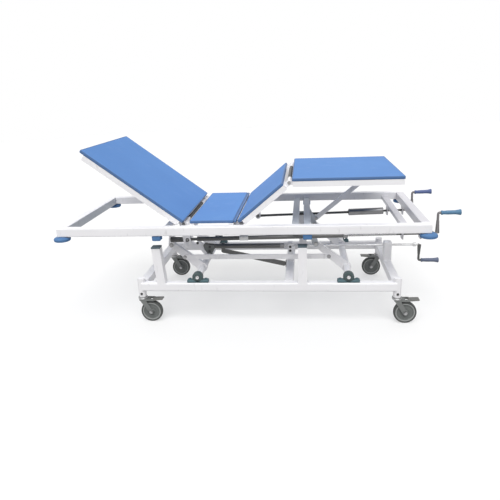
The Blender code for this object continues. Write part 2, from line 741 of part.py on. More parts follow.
def make_thigh():
    """Thigh frame with eyes at both ends and the knee drive's lever, and its board."""
    half = SECTION_TUBE / 2
    first = FRAME_START + half
    end = FRAME_START + THIGH_FRAME_LENGTH
    frame = ladder(FRAME_START, end, [first, end - half])
    lean = math.radians(THIGH_ANGLE - KNEE_LEVER_LEAN)
    direction = (-math.sin(lean), -math.cos(lean))
    lever = lever_plates(
        (first, 0.0), direction, KNEE_PIN_DROP - KNEE_LEVER_LEAD, KNEE_LEVER_SLOT, DRIVE_Y, ROD_EYE_WIDTH,
        KNEE_LEVER_SLACK)
    eyes = [*section_eyes(0.0, first), *section_eyes(THIGH_LINK, end - half)]
    finished("thigh_frame", fused(frame, [*eyes, *lever]), WHITE, "thigh", in_bed=False)
    board = panel(THIGH_PANEL_START, THIGH_PANEL_START + THIGH_PANEL_LENGTH)
    finished("thigh_panel", board, PANEL_BLUE, "thigh", in_bed=False)


def make_foot_section():
    """Foot frame hung on the knee, the strut that keeps it level, and its board."""
    half = SECTION_TUBE / 2
    first = FOOT_FRAME_START + half
    end = FOOT_FRAME_START + FOOT_FRAME_LENGTH
    frame = ladder(FOOT_FRAME_START, end, [first, STRUT_AHEAD, end - half])
    ears = []
    for y in (-HINGE_Y, HINGE_Y):
        ears += clevis((0.0, 0.0), (first, 0.0), EYE_WIDTH, y)
    ears += clevis((STRUT_AHEAD, -STRUT_BELOW), (STRUT_AHEAD, 0.0), STRUT_WIDTH, 0.0)
    finished("foot_frame", fused(frame, ears), WHITE, "foot", in_bed=False)
    board = panel(FOOT_PANEL_START, FOOT_PANEL_START + FOOT_PANEL_LENGTH)
    finished("foot_panel", board, PANEL_BLUE, "foot", in_bed=False)
    ends = [(0.0, 0.0), (THIGH_LINK, 0.0)]
    outline = hull(*((*end, STRUT_RADIUS) for end in ends))
    holes = [ring(end, PIN_RADIUS + RUN_CLEARANCE) for end in ends]
    strut = plate([outline, *holes], STRUT_WIDTH, 0.0)
    finished("foot_strut", strut, WHITE, "strut", in_bed=False)


def make_base():
    """Base rails with their posts and castor sleeves, and the bars between them."""
    for name, sign in (("near_base_rail", -1), ("far_base_rail", 1)):
        low_y = min(sign * BASE_INNER, sign * BASE_HALF)
        middle_y = sign * BASE_MID_Y
        rail = block((SLEEVE_HEAD_X, low_y, BASE_LOW), (SLEEVE_FOOT_X, low_y + TUBE, BASE_TOP), TUBE_EDGE, 1)
        added = []
        half = TUBE / 2
        for x, lean in ((HEAD_POST_X, HEAD_POST_LEAN), (FOOT_POST_X, 0.0)):
            low_z = BASE_TOP - half
            top_x = x - lean
            side = [(x - half, low_z), (x + half, low_z), (top_x + half, POST_TOP), (top_x - half, POST_TOP)]
            added.append(plate([side], TUBE - 2 * GAP, middle_y))
        bores = []
        for x in (SLEEVE_HEAD_X, SLEEVE_FOOT_X):
            added.append(rod(SLEEVE_RADIUS, (x, middle_y, SLEEVE_LOW), (x, middle_y, SLEEVE_TOP)))
            bore_low = SLEEVE_LOW - TUBE
            bore_top = SLEEVE_LOW + STEM_LENGTH + GAP
            bores.append(rod(STEM_RADIUS + RUN_CLEARANCE, (x, middle_y, bore_low), (x, middle_y, bore_top)))
        finished(name, cut(fused(rail, added), bores), WHITE, "bed")

    reach = BASE_INNER - GAP
    clear = SLEEVE_RADIUS - TUBE / 2
    for name, x in (
        ("head_base_bar", SLEEVE_HEAD_X - clear),
        ("mid_base_bar", MID_BASE_X),
    ):
        bar = block((x - TUBE / 2, -reach, BASE_LOW), (x + TUBE / 2, reach, BASE_TOP), TUBE_EDGE)
        finished(name, bar, WHITE, "bed")
    x = CRANK_POST_X
    bar = block((x - TUBE / 2, -reach, BASE_LOW), (x + TUBE / 2, reach, BASE_TOP), TUBE_EDGE)
    half = TUBE / 2 - GAP
    low, high = (x - half, -TUBE / 2, BASE_TOP - TUBE / 2), (x + half, TUBE / 2, CRANK_POST_TOP)
    post = block(low, high, TUBE_EDGE, 1)
    bore = rod(SCREW_RADIUS + SCREW_CLEARANCE, (x - TUBE, 0.0, LIFT_DRIVE_Z), (x + TUBE, 0.0, LIFT_DRIVE_Z))
    finished("foot_base_bar", cut(fused(bar, [post]), [bore]), WHITE, "bed")


def make_pillow_blocks():
    """Bearing blocks on the base rails that carry the two lift shafts."""
    start, stop = math.radians(-25.0), math.radians(205.0)
    arch = []
    for step in range(ROUND_SIDES + 1):
        angle = start + (stop - start) * step / ROUND_SIDES
        arch.append((BLOCK_HOUSING * math.cos(angle), BLOCK_HEIGHT + BLOCK_HOUSING * math.sin(angle)))
    shoulder = BLOCK_HOUSING * 1.3
    outline = [(-BLOCK_HALF_LENGTH, 0.0), (BLOCK_HALF_LENGTH, 0.0), (BLOCK_HALF_LENGTH, BLOCK_FOOT * 0.75)]
    outline += [(BLOCK_HALF_LENGTH - BLOCK_FOOT / 4, BLOCK_FOOT), (shoulder, BLOCK_FOOT), *arch]
    outline += [(-shoulder, BLOCK_FOOT), (-BLOCK_HALF_LENGTH + BLOCK_FOOT / 4, BLOCK_FOOT)]
    outline.append((-BLOCK_HALF_LENGTH, BLOCK_FOOT * 0.75))
    bore = ring((0.0, BLOCK_HEIGHT), JOURNAL_RADIUS + RUN_CLEARANCE, ROUND_SIDES)
    for end, x in (("head", HEAD_SHAFT_X), ("foot", FOOT_SHAFT_X)):
        for side, y in (("near", -BASE_MID_Y), ("far", BASE_MID_Y)):
            piece = plate([outline, bore], BLOCK_WIDTH, y)
            piece = moved(piece, (x, 0.0, BASE_TOP + GAP))
            finished(side + "_" + end + "_pillow_block", piece, CAST_TEAL, "bed")


def lift_shaft():
    """Torque tube with its journals, both arms and the tie pin, about its own axis."""
    tube_end = BASE_MID_Y - BLOCK_WIDTH / 2 - RUN_CLEARANCE
    shaft_end = BASE_MID_Y + BLOCK_WIDTH / 2 + JOURNAL_PROUD
    shaft = turned([
        (0.0, shaft_end),
        (JOURNAL_RADIUS, shaft_end),
        (JOURNAL_RADIUS, tube_end),
        (TORQUE_RADIUS, tube_end),
        (TORQUE_RADIUS, -tube_end),
        (JOURNAL_RADIUS, -tube_end),
        (JOURNAL_RADIUS, -shaft_end),
        (0.0, -shaft_end),
    ], "Y")
    top = (-ARM_RUN, ARM_RISE)
    outline = hull((0.0, 0.0, ARM_FOOT_RADIUS), (*top, ARM_TOP_RADIUS))
    hole = ring(top, HANGER_PIN_RADIUS + RUN_CLEARANCE)
    arms = [plate([outline, hole], ARM_WIDTH, y) for y in (-ARM_Y, ARM_Y)]
    outer = TIE_Y + TIE_WALL / 2 + PIN_HEAD
    arms.append(rod(TIE_PIN_RADIUS, (-TIE_RUN, -ARM_Y, TIE_RISE), (-TIE_RUN, -outer, TIE_RISE), PIN_SIDES))
    return shaft, arms


def make_lift():
    """Two lift shafts, the bar that ties them together and the stay that guides the push tube."""
    shaft, arms = lift_shaft()
    lean = math.radians(LIFT_LEVER_LEAN)
    direction = (-math.sin(lean), math.cos(lean))
    lever = lever_plates(
        (0.0, 0.0), direction, LIFT_LEVER_RISE - LIFT_LEVER_LEAD, LIFT_LEVER_SLOT, 0.0, ROD_EYE_WIDTH,
        LIFT_LEVER_SLACK)
    finished("head_lift_shaft", fused(shaft, [*arms, *lever]), WHITE, "head_lift", in_bed=False)
    shaft, arms = lift_shaft()
    finished("foot_lift_shaft", fused(shaft, arms), WHITE, "foot_lift", in_bed=False)
    ends = [(0.0, 0.0), (SHAFT_PITCH, 0.0)]
    outline = hull(*((*end, TIE_RADIUS) for end in ends))
    holes = [ring(end, TIE_PIN_RADIUS + RUN_CLEARANCE) for end in ends]
    finished("tie_bar", plate([outline, *holes], TIE_WALL, -TIE_Y), WHITE, "tie", in_bed=False)

    inner = LIFT_TUBE_RADIUS + RUN_CLEARANCE
    outer = inner + EAR_WALL
    half = STAY_COLLAR_LENGTH / 2
    collar = turned([(outer, half), (outer, -half), (inner, -half), (inner, half)], "X", True)
    collar = moved(collar, (STAY_COLLAR_X, 0.0, LIFT_DRIVE_Z))
    face = MID_BASE_X - TUBE / 2 - GAP
    middle_z = BASE_LOW + TUBE / 2
    pad = STAY_PAD / 2
    foot = block((face - EAR_WALL, -pad, middle_z - pad), (face, pad, middle_z + pad))
    under = (STAY_COLLAR_X, LIFT_DRIVE_Z - inner - STAY_HALF_HEIGHT, STAY_HALF_HEIGHT * 0.9)
    held = (face - EAR_WALL - STAY_HALF_HEIGHT * 0.8, middle_z, STAY_HALF_HEIGHT)
    bar = plate([hull(under, held)], STAY_WIDTH, 0.0)
    finished("push_tube_stay", fused(bar, [collar, foot]), DARK_STEEL, "bed")


def push_tube(pin_along, profile):
    """Push tube along X, turned from a profile, that ends in an eye block with its cross pin."""
    body = turned(profile, "X", steps=ROUND_SIDES)
    tail = (pin_along + ROD_EYE_LENGTH, 0.0, ROD_EYE_TAIL)
    eye = plate([hull((pin_along, 0.0, EYE_RADIUS), tail)], ROD_EYE_WIDTH, 0.0)
    reach = ROD_EYE_WIDTH / 2 + RUN_CLEARANCE + LEVER_WALL + PIN_HEAD
    pin = rod(PIN_RADIUS, (pin_along, -reach, 0.0), (pin_along, reach, 0.0), PIN_SIDES)
    return fused(body, [eye, pin])


def make_drives():
    """Push tubes, cranks and grips of the back, knee and height screws."""
    bore = TUBE_BORE_RADIUS
    back_cos = math.cos(BACK_SLOPE)
    pin = -(BEARING_X - BACK_PIVOT_X) / back_cos
    tube_end = -BACK_TUBE_BACK / back_cos
    bore_end = -BACK_BORE_BACK / back_cos
    neck, shoulder = pin + ROD_NECK_START, pin + ROD_SHOULDER
    tube = push_tube(pin, [
        (bore, tube_end), (BACK_TUBE_RADIUS, tube_end), (BACK_TUBE_RADIUS, shoulder),
        (KNEE_ROD_RADIUS, pin + ROD_NECK_END), (KNEE_ROD_RADIUS, neck), (0.0, neck),
        (0.0, bore_end), (bore, bore_end), (bore, tube_end)])
    finished("back_push_tube", tube, DARK_STEEL, "back_drive", in_bed=False)

    knee_cos = math.cos(KNEE_SLOPE)
    pin = -(BEARING_X - KNEE_PIN_X) / knee_cos
    nut = -KNEE_NUT_BACK / knee_cos
    tube_end = -KNEE_TUBE_BACK / knee_cos
    bore_end = -KNEE_BORE_BACK / knee_cos
    neck = pin + ROD_NECK_START
    tube = push_tube(pin, [
        (bore, tube_end), (KNEE_NUT_RADIUS, tube_end), (KNEE_NUT_RADIUS, nut),
        (KNEE_ROD_RADIUS, nut - ROD_SHOULDER + ROD_NECK_END), (KNEE_ROD_RADIUS, neck), (0.0, neck),
        (0.0, bore_end), (bore, bore_end), (bore, tube_end)])
    finished("knee_push_tube", tube, DARK_STEEL, "knee_drive", in_bed=False)

    pin = LIFT_PIN_X - CRANK_POST_X
    neck, shoulder = pin + ROD_NECK_START, pin + ROD_SHOULDER
    tube_end = LIFT_TUBE_END_X - CRANK_POST_X
    bore_end = LIFT_BORE_X - CRANK_POST_X
    tube = push_tube(pin, [
        (bore, tube_end), (LIFT_TUBE_RADIUS, tube_end), (LIFT_TUBE_RADIUS, shoulder),
        (KNEE_ROD_RADIUS, pin + ROD_NECK_END), (KNEE_ROD_RADIUS, neck), (0.0, neck),
        (0.0, bore_end), (bore, bore_end), (bore, tube_end)])
    finished("lift_push_tube", tube, DARK_STEEL, "lift_drive", in_bed=False)

    for drive, screw_x, bearing_x, crank_x, arm in (
        ("back", BEARING_X - BACK_SCREW_BACK, BEARING_X, BACK_CRANK_X, CRANK_ARM),
        ("knee", BEARING_X - KNEE_SCREW_BACK, BEARING_X, KNEE_CRANK_X, CRANK_ARM),
        ("lift", LIFT_SCREW_X, CRANK_POST_X, LIFT_CRANK_X, -LIFT_CRANK_ARM),
    ):
        elbow = crank_x - bearing_x
        spindle_end = elbow + GRIP_CLEAR + GRIP_LENGTH - 2 * GAP
        corners = [(screw_x - bearing_x, 0.0, 0.0), (elbow, 0.0, 0.0)]
        corners += [(elbow, 0.0, arm), (spindle_end, 0.0, arm)]
        crank = bent_rod(corners, SCREW_RADIUS, CRANK_BEND)
        finished(drive + "_crank", crank, BRIGHT_STEEL, drive + "_drive", in_bed=False)
        hole = SCREW_RADIUS + RUN_CLEARANCE
        start, end = GRIP_CLEAR + CRANK_BEND / 2, GRIP_CLEAR + GRIP_LENGTH
        middle = (start + end) / 2
        grip = turned([
            (hole, end), (GRIP_END_RADIUS * 0.8, end), (GRIP_END_RADIUS, end - 0.004),
            (GRIP_END_RADIUS * 0.85, end - 0.014), (GRIP_WAIST_RADIUS, middle + 0.010),
            (GRIP_ROOT_RADIUS, start + 0.012), (GRIP_ROOT_RADIUS, start), (hole, start)],
            "X", True, ROUND_SIDES)
        finished(drive + "_grip", grip, GRIP_BLUE, drive + "_grip", in_bed=False)


def castor_fork(facing):
    """Swivel fork about its stem; facing is +1 where the wheel trails towards the foot end."""
    bridge_low = 2 * WHEEL_RADIUS + FORK_CLEAR
    head_low = bridge_low + FORK_BRIDGE
    head_top = SLEEVE_LOW - GAP
    fork = turned([
        (0.0, SLEEVE_LOW + STEM_LENGTH - GAP),
        (STEM_RADIUS, SLEEVE_LOW + STEM_LENGTH - GAP),
        (STEM_RADIUS, head_top),
        (FORK_HEAD_RADIUS, head_top),
        (FORK_HEAD_RADIUS, head_low - FORK_WALL),
        (0.0, head_low - FORK_WALL),
    ])
    half = HUB_WIDTH / 2 + RUN_CLEARANCE
    outer = half + FORK_WALL
    middle_z = bridge_low + FORK_BRIDGE / 2
    top = FORK_BRIDGE / 2
    axle = (facing * CASTOR_TRAIL, WHEEL_RADIUS)
    within = top - FORK_STEP
    back = FORK_BACK - FORK_STEP
    leg = hull((*axle, FORK_LEG_RADIUS), (-facing * back, middle_z, within), (facing * back, middle_z, within))
    arm = hull((-facing * FORK_BACK, middle_z, top), (facing * PEDAL_PIVOT_X, middle_z, top))
    cheeks = []
    for side in (-1, 1):
        middle_y = side * (half + FORK_WALL / 2)
        cheeks += [plate([leg], FORK_WALL - FORK_STEP, middle_y), plate([arm], FORK_WALL, middle_y)]
    ends = sorted((-facing * FORK_BACK, facing * (CASTOR_TRAIL - FORK_WALL)))
    inset = FORK_WALL / 4
    bridge = block((ends[0], -outer + inset, bridge_low + inset), (ends[1], outer - inset, head_low - inset))
    pin_end = outer - FORK_WALL / 2
    pin = rod(AXLE_RADIUS, (axle[0], -pin_end, axle[1]), (axle[0], pin_end, axle[1]), PIN_SIDES)
    return fused(fork, [bridge, *cheeks, pin])


def make_castors():
    """Four swivel castors with their brake pedals."""
    hub = HUB_WIDTH / 2
    rim = WHEEL_WIDTH / 2
    bore = AXLE_RADIUS + RUN_CLEARANCE
    bridge_middle = 2 * WHEEL_RADIUS + FORK_CLEAR + FORK_BRIDGE / 2
    for side, end, facing in (
        ("near", "head", 1), ("far", "head", 1), ("near", "foot", 1), ("far", "foot", -1),
    ):
        name = side + "_" + end
        rides = name + "_castor"
        finished(name + "_castor_fork", castor_fork(facing), CASTOR_STEEL, rides, in_bed=False)
        wheel = turned([
            (bore, hub), (HUB_RADIUS, hub), (WEB_RADIUS, rim * 0.65), (TYRE_RADIUS, rim),
            (WHEEL_RADIUS - TYRE_EDGE, rim), (WHEEL_RADIUS, rim * 0.6), (WHEEL_RADIUS, -rim * 0.6),
            (WHEEL_RADIUS - TYRE_EDGE, -rim), (TYRE_RADIUS, -rim), (WEB_RADIUS, -rim * 0.65),
            (HUB_RADIUS, -hub), (bore, -hub)], "Y", True)
        wheel = moved(wheel, (facing * CASTOR_TRAIL, 0.0, WHEEL_RADIUS))
        finished(name + "_wheel", wheel, WHEEL_GREY, rides, in_bed=False)
        boss = (facing * PEDAL_PIVOT_X, bridge_middle, PEDAL_BOSS)
        tip = (facing * (PEDAL_PIVOT_X + PEDAL_LENGTH), bridge_middle + PEDAL_RISE, PEDAL_TIP)
        pedal = plate([hull(boss, tip)], HUB_WIDTH, 0.0)
        finished(name + "_brake_pedal", pedal, CASTOR_STEEL, rides, in_bed=False)


def main():
    """Builds the bed."""
    make_carriers()
    make_base()
    make_pillow_blocks()
    make_lift()
    make_upper_frame()
    make_stops_and_bumpers()
    make_seat()
    make_backrest()
    make_thigh()
    make_foot_section()
    make_drives()
    make_castors()
    bpy.context.view_layer.update()


main()
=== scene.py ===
"""Looks of a crank-operated hospital bed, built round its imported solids.

Every piece is placed from the frame: boxes of the CAD nodes and positions of the joints. Lengths are in
metres. X runs from the head end to the foot end, Y from the near side to the far side and Z upwards.
"""
from __future__ import annotations

import json
import logging
import math
from dataclasses import dataclass, field
from enum import Enum
from typing import Dict, List, Optional, Sequence, Tuple, Union

import bmesh
import bpy
from bmesh.types import BMesh, BMVert
from bpy.types import ID, Material, Mesh, NodeSocket, Object
from mathutils import Matrix, Vector


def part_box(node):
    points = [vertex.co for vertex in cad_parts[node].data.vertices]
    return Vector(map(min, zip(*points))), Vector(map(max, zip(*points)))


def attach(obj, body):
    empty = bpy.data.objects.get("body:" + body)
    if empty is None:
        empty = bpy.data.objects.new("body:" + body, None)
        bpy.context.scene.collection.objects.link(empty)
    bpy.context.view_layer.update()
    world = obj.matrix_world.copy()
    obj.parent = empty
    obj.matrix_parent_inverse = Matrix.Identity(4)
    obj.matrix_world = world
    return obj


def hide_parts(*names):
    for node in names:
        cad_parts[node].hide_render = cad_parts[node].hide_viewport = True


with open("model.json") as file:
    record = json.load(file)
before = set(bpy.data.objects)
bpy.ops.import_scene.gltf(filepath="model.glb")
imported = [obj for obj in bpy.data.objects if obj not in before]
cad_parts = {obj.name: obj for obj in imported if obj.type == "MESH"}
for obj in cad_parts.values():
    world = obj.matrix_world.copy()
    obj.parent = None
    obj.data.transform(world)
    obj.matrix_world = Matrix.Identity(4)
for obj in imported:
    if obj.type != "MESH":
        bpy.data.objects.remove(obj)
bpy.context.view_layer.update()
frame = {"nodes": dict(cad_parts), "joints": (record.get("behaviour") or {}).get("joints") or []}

LOG = logging.getLogger("bed")
SIDES = (-1.0, 1.0)
CORNERS = ("near_head", "near_foot", "far_head", "far_foot")
UP = Vector((0.0, 0.0, 1.0))
SHARP_ANGLE = math.radians(35.0)
MERGE_DISTANCE = 0.000004
Pair = Tuple[float, float]
Triple = Tuple[float, float, float]
Profile = Sequence[Pair]
Line = Tuple[Vector, Vector]
Value = Union["Flow", float, Sequence[float], List["Flow"]]
Tint = Union["Flow", Triple]


class Axis(Enum):
    """The direction that a turned piece's own Z axis is laid along."""

    X = "X"
    Y = "Y"
    Z = "Z"

    def matrix(self) -> Matrix:
        """Rotation that takes +Z to this axis."""
        angle, about = {"X": (math.pi / 2, "Y"), "Y": (-math.pi / 2, "X"), "Z": (0.0, "Z")}[self.value]
        return Matrix.Rotation(angle, 4, about)

    def at(self, point: Sequence[float]) -> Matrix:
        """Lathe frame at a point, along this axis."""
        return Matrix.Translation(point) @ self.matrix()


class Slot(Enum):
    """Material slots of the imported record."""

    FRAME = "frame_paint"
    PANEL = "panel"
    BUMPER = "bumper"
    GRIP = "grip"
    CAST = "cast"
    DRIVE = "drive_steel"
    CRANK = "crank_steel"
    CASTOR = "castor_steel"
    WHEEL = "wheel"


# Node trees


@dataclass(frozen=True)
class Flow:
    """A node's socket that takes part in Python arithmetic."""

    wiring: "Wiring"
    socket: NodeSocket

    def maths(self, operation: str, first: Value, second: Value = 0.0) -> "Flow":
        """Result of one Math node on two values or links."""
        return self.wiring.node("ShaderNodeMath", {"operation": operation}, {0: first, 1: second})

    def __add__(self, other: Value) -> "Flow":
        """Sum."""
        return self.maths("ADD", self, other)

    __radd__ = __add__

    def __mul__(self, other: Value) -> "Flow":
        """Product."""
        return self.maths("MULTIPLY", self, other)

    __rmul__ = __mul__

    def __sub__(self, other: Value) -> "Flow":
        """Difference."""
        return self.maths("SUBTRACT", self, other)

    def __rsub__(self, other: Value) -> "Flow":
        """Difference from a number."""
        return self.maths("SUBTRACT", other, self)

    def __abs__(self) -> "Flow":
        """Size without its sign."""
        return self.maths("ABSOLUTE", self)

    def over(self, low: float, high: float) -> "Flow":
        """Ramp that rises from 0 at low to 1 at high, and stays there."""
        ends = {"Value": self, "From Min": low, "From Max": high}
        return self.wiring.node("ShaderNodeMapRange", {"clamp": True}, ends)


class Wiring:
    """A node tree whose nodes are all made by one method."""

    def __init__(self, tree: bpy.types.NodeTree) -> None:
        """Takes a tree over."""
        self.tree = tree

    def node(self, kind: str, settings: Optional[dict] = None, inputs: Optional[dict] = None,
             output: Union[int, str] = 0) -> Flow:
        """Adds a node.

        Args:
            kind: The node's type name.
            settings: Properties that are set first.
            inputs: Values or links by socket name or index.
            output: The socket that is handed back.

        Returns:
            The chosen output.
        """
        made = self.tree.nodes.new(kind)
        for key, value in (settings or {}).items():
            setattr(made, key, value)
        for key, value in (inputs or {}).items():
            self.feed(made.inputs[key], value)
        return Flow(self, made.outputs[output])

    def feed(self, socket: NodeSocket, value: Value) -> None:
        """Links or sets a socket.

        Args:
            socket: The socket to feed.
            value: A link, a list of links for a socket that takes several, or a plain value.
        """
        if isinstance(value, list):
            for flow in value:
                self.feed(socket, flow)
        elif isinstance(value, Flow):
            self.tree.links.new(value.socket, socket)
        else:
            socket.default_value = value

    def part(self, vector: Flow, axis: Axis) -> Flow:
        """One part of a vector."""
        return self.node("ShaderNodeSeparateXYZ", {}, {0: vector}, axis.value)


class ShaderTree(Wiring):
    """A node tree round one shader."""

    def __init__(self, tree: bpy.types.NodeTree, shader: str) -> None:
        """Takes a tree over and finds its shader by name."""
        super().__init__(tree)
        self.shader = tree.nodes[shader]

    def put(self, name: str, value: Value) -> None:
        """Feeds one of the shader's sockets."""
        self.feed(self.shader.inputs[name], value)


class SkyTree(ShaderTree):
    """Node tree of the world, with its Background shader."""

    def __init__(self, name: str) -> None:
        """Starts the world.

        Args:
            name: The world's name.
        """
        world = bpy.data.worlds.new(name)
        world.use_nodes = True
        bpy.context.scene.world = world
        super().__init__(world.node_tree, "Background")

    def way(self, axis: Axis) -> Flow:
        """One part of the direction of view, from -1 to 1."""
        return self.part(self.node("ShaderNodeTexCoord", output="Generated"), axis)


class Graph(ShaderTree):
    """Node tree of one material, with its Principled shader."""

    def __init__(self, name: str) -> None:
        """Starts a material.

        Args:
            name: The material's name.
        """
        self.material = bpy.data.materials.new(name)
        self.material.use_nodes = True
        super().__init__(self.material.node_tree, "Principled BSDF")

    def place(self, stretch: Triple = (1.0, 1.0, 1.0)) -> Flow:
        """Object coordinates, stretched along each axis."""
        here = self.node("ShaderNodeTexCoord", output="Object")
        return self.node("ShaderNodeMapping", {}, {"Vector": here, "Scale": stretch})

    def noise(self, scale: float, detail: float = 3.0, stretch: Triple = (1.0, 1.0, 1.0)) -> Flow:
        """Noise between about 0.3 and 0.7, by its cells per metre and its octaves."""
        sizes = {"Vector": self.place(stretch), "Scale": scale, "Detail": detail}
        return self.node("ShaderNodeTexNoise", {}, sizes)

    def cells(self, scale: float) -> Flow:
        """Distance to the nearest point of a pattern, by its cells per metre."""
        return self.node("ShaderNodeTexVoronoi", {}, {"Vector": self.place(), "Scale": scale})

    def mixed(self, factor: Value, first: Tint, second: Tint) -> Flow:
        """Mix of two colours; the factor is the share of the second."""
        tints = [tint if isinstance(tint, Flow) else (*tint, 1.0) for tint in (first, second)]
        return self.node("ShaderNodeMix", {"data_type": "RGBA"}, {0: factor, 6: tints[0], 7: tints[1]}, 2)

    def bump(self, height: Flow, depth: float, strength: float) -> None:
        """Feeds the shader's normal from a height pattern, by its depth in metres."""
        sizes = {"Height": height, "Distance": depth, "Strength": strength}
        self.put("Normal", self.node("ShaderNodeBump", {}, sizes))

    def surface(self, colour: Value, roughness: Value, metallic: Value = 0.0) -> None:
        """Feeds the main sockets."""
        for name, value in (("Base Color", colour), ("Roughness", roughness), ("Metallic", metallic)):
            self.put(name, value)


# Finishes


@dataclass(frozen=True)
class Finish:
    """A surface finish; its kinds build their own node trees."""

    name: str
    colour: Triple
    roughness: float
    shade: Triple
    specular: float = 0.3

    def material(self) -> Material:
        """Builds the material, unless it was built before.

        Returns:
            The material.
        """
        kept = bpy.data.materials.get(self.name)
        if kept:
            return kept
        graph = Graph(self.name)
        self.paint(graph)
        graph.put("Specular IOR Level", self.specular)
        return graph.material

    def paint(self, graph: Graph) -> None:
        """Plain finish with a little variation."""
        cloud = graph.noise(6.0).over(0.35, 0.75)
        graph.surface(graph.mixed(cloud, self.colour, self.shade), self.roughness)


@dataclass(frozen=True)
class GlowFinish(Finish):
    """A plain finish that also glows, for the studio's floor and backdrop."""

    glow: float = 1.0

    def paint(self, graph: Graph) -> None:
        """Builds the finish and its white glow.

        Args:
            graph: The material's graph.
        """
        super().paint(graph)
        graph.put("Emission Color", (1.0, 1.0, 1.0, 1.0))
        graph.put("Emission Strength", self.glow)


@dataclass(frozen=True)
class PowderCoat(Finish):
    """Stoved paint on steel: orange peel, faint handling marks and a few chips."""

    steel: Triple = (0.30, 0.29, 0.29)
    peel_scale: float = 420.0
    cloud_scale: float = 3.2
    scuff_scale: float = 38.0
    scuff_stretch: Triple = (1.0, 1.0, 0.35)
    chip_scale: float = 17.0
    chip_rim: Pair = (0.045, 0.028)
    patch_scale: float = 9.0
    coat_weight: float = 0.15
    coat_roughness: float = 0.25

    def paint(self, graph: Graph) -> None:
        """Builds the coat.

        Args:
            graph: The material's graph.
        """
        peel = graph.noise(self.peel_scale, 2.0)
        cloud = graph.noise(self.cloud_scale, 4.0).over(0.38, 0.72)
        scuff = graph.noise(self.scuff_scale, 5.0, self.scuff_stretch).over(0.62, 0.74)
        patch = graph.noise(self.patch_scale, 2.0).over(0.57, 0.63)
        chip = graph.cells(self.chip_scale).over(*self.chip_rim) * patch
        coat = self.coat(graph, graph.mixed(cloud * 0.8, self.colour, self.shade))
        marked = graph.mixed(scuff * 0.22, coat, self.steel)
        graph.surface(graph.mixed(chip, marked, self.steel), self.roughness + scuff * 0.16 + cloud * 0.05)
        graph.bump(peel - chip * 0.8, 0.0006, 0.16)
        graph.put("Coat Weight", self.coat_weight)
        graph.put("Coat Roughness", self.coat_roughness)

    def coat(self, graph: Graph, paint: Flow) -> Flow:
        """Colour of the coat before its marks: the clean paint, which other coats change in places."""
        return paint


@dataclass(frozen=True)
class BandedCoat(PowderCoat):
    """A coat with one darker band: on the lever, a bare steel piece welded on; on the head rail, painted
    shade on its sides.
    """

    axis: Axis = Axis.Y
    middle: float = 0.0
    half: float = 0.0125
    fade: float = 0.0004
    dark: Triple = (0.180, 0.183, 0.180)

    def coat(self, graph: Graph, paint: Flow) -> Flow:
        """Colour of the coat before its marks: the clean paint with the band across it."""
        offset = abs(graph.part(graph.place(), self.axis) - self.middle)
        return graph.mixed(offset.over(self.half, self.half - self.fade), paint, self.dark)


@dataclass(frozen=True)
class SheetFinish(Finish):
    """Satin moulded sheet with a fine grain."""

    grain: float = 520.0

    def paint(self, graph: Graph) -> None:
        """Builds the sheet.

        Args:
            graph: The material's graph.
        """
        cloud = graph.noise(2.4, 5.0).over(0.36, 0.7)
        rub = graph.noise(14.0, 6.0).over(0.55, 0.75)
        grain = graph.cells(self.grain)
        graph.surface(graph.mixed(cloud * 0.7, self.colour, self.shade), self.roughness - rub * 0.09)
        graph.bump(grain + graph.noise(60.0, 3.0) * 0.5, 0.0005, 0.14)


@dataclass(frozen=True)
class RubberFinish(Finish):
    """Moulded rubber or plastic with a dusty bloom."""

    fine: float = 260.0

    def paint(self, graph: Graph) -> None:
        """Builds the rubber.

        Args:
            graph: The material's graph.
        """
        bloom = graph.noise(26.0, 5.0).over(0.45, 0.75)
        graph.surface(graph.mixed(bloom * 0.55, self.colour, self.shade), self.roughness + bloom * 0.1)
        graph.bump(graph.noise(self.fine, 3.0), 0.0006, 0.2)


@dataclass(frozen=True)
class CastFinish(Finish):
    """Paint over a sand casting."""

    metallic: float = 0.1

    def paint(self, graph: Graph) -> None:
        """Builds the casting.

        Args:
            graph: The material's graph.
        """
        worn = graph.noise(55.0, 4.0).over(0.58, 0.7)
        colour = graph.mixed(worn * 0.6, self.colour, self.shade)
        graph.surface(colour, self.roughness + worn * 0.12, self.metallic)
        graph.bump(graph.noise(330.0, 4.0), 0.0012, 0.35)


@dataclass(frozen=True)
class SteelFinish(Finish):
    """Bare, plated or blackened steel, drawn along one axis."""

    drawn: Triple = (0.08, 1.0, 1.0)
    metallic: float = 1.0

    def paint(self, graph: Graph) -> None:
        """Builds the steel.

        Args:
            graph: The material's graph.
        """
        lines = graph.noise(700.0, 3.0, self.drawn)
        stain = graph.noise(18.0, 5.0).over(0.46, 0.74)
        colour = graph.mixed(stain * 0.5, self.colour, self.shade)
        graph.surface(colour, self.roughness + lines * 0.12 + stain * 0.1, self.metallic)
        graph.bump(lines, 0.0003, 0.12)


WHITE_PAINT = ((0.86, 0.853, 0.872), 0.36, (0.80, 0.793, 0.813))
RAIL_LOW, RAIL_TOP = (corner.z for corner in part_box("head_rail"))
# Depth of the white strip kept along the top of the head rail, above its painted shade.
RAIL_LIT_EDGE = 0.0025

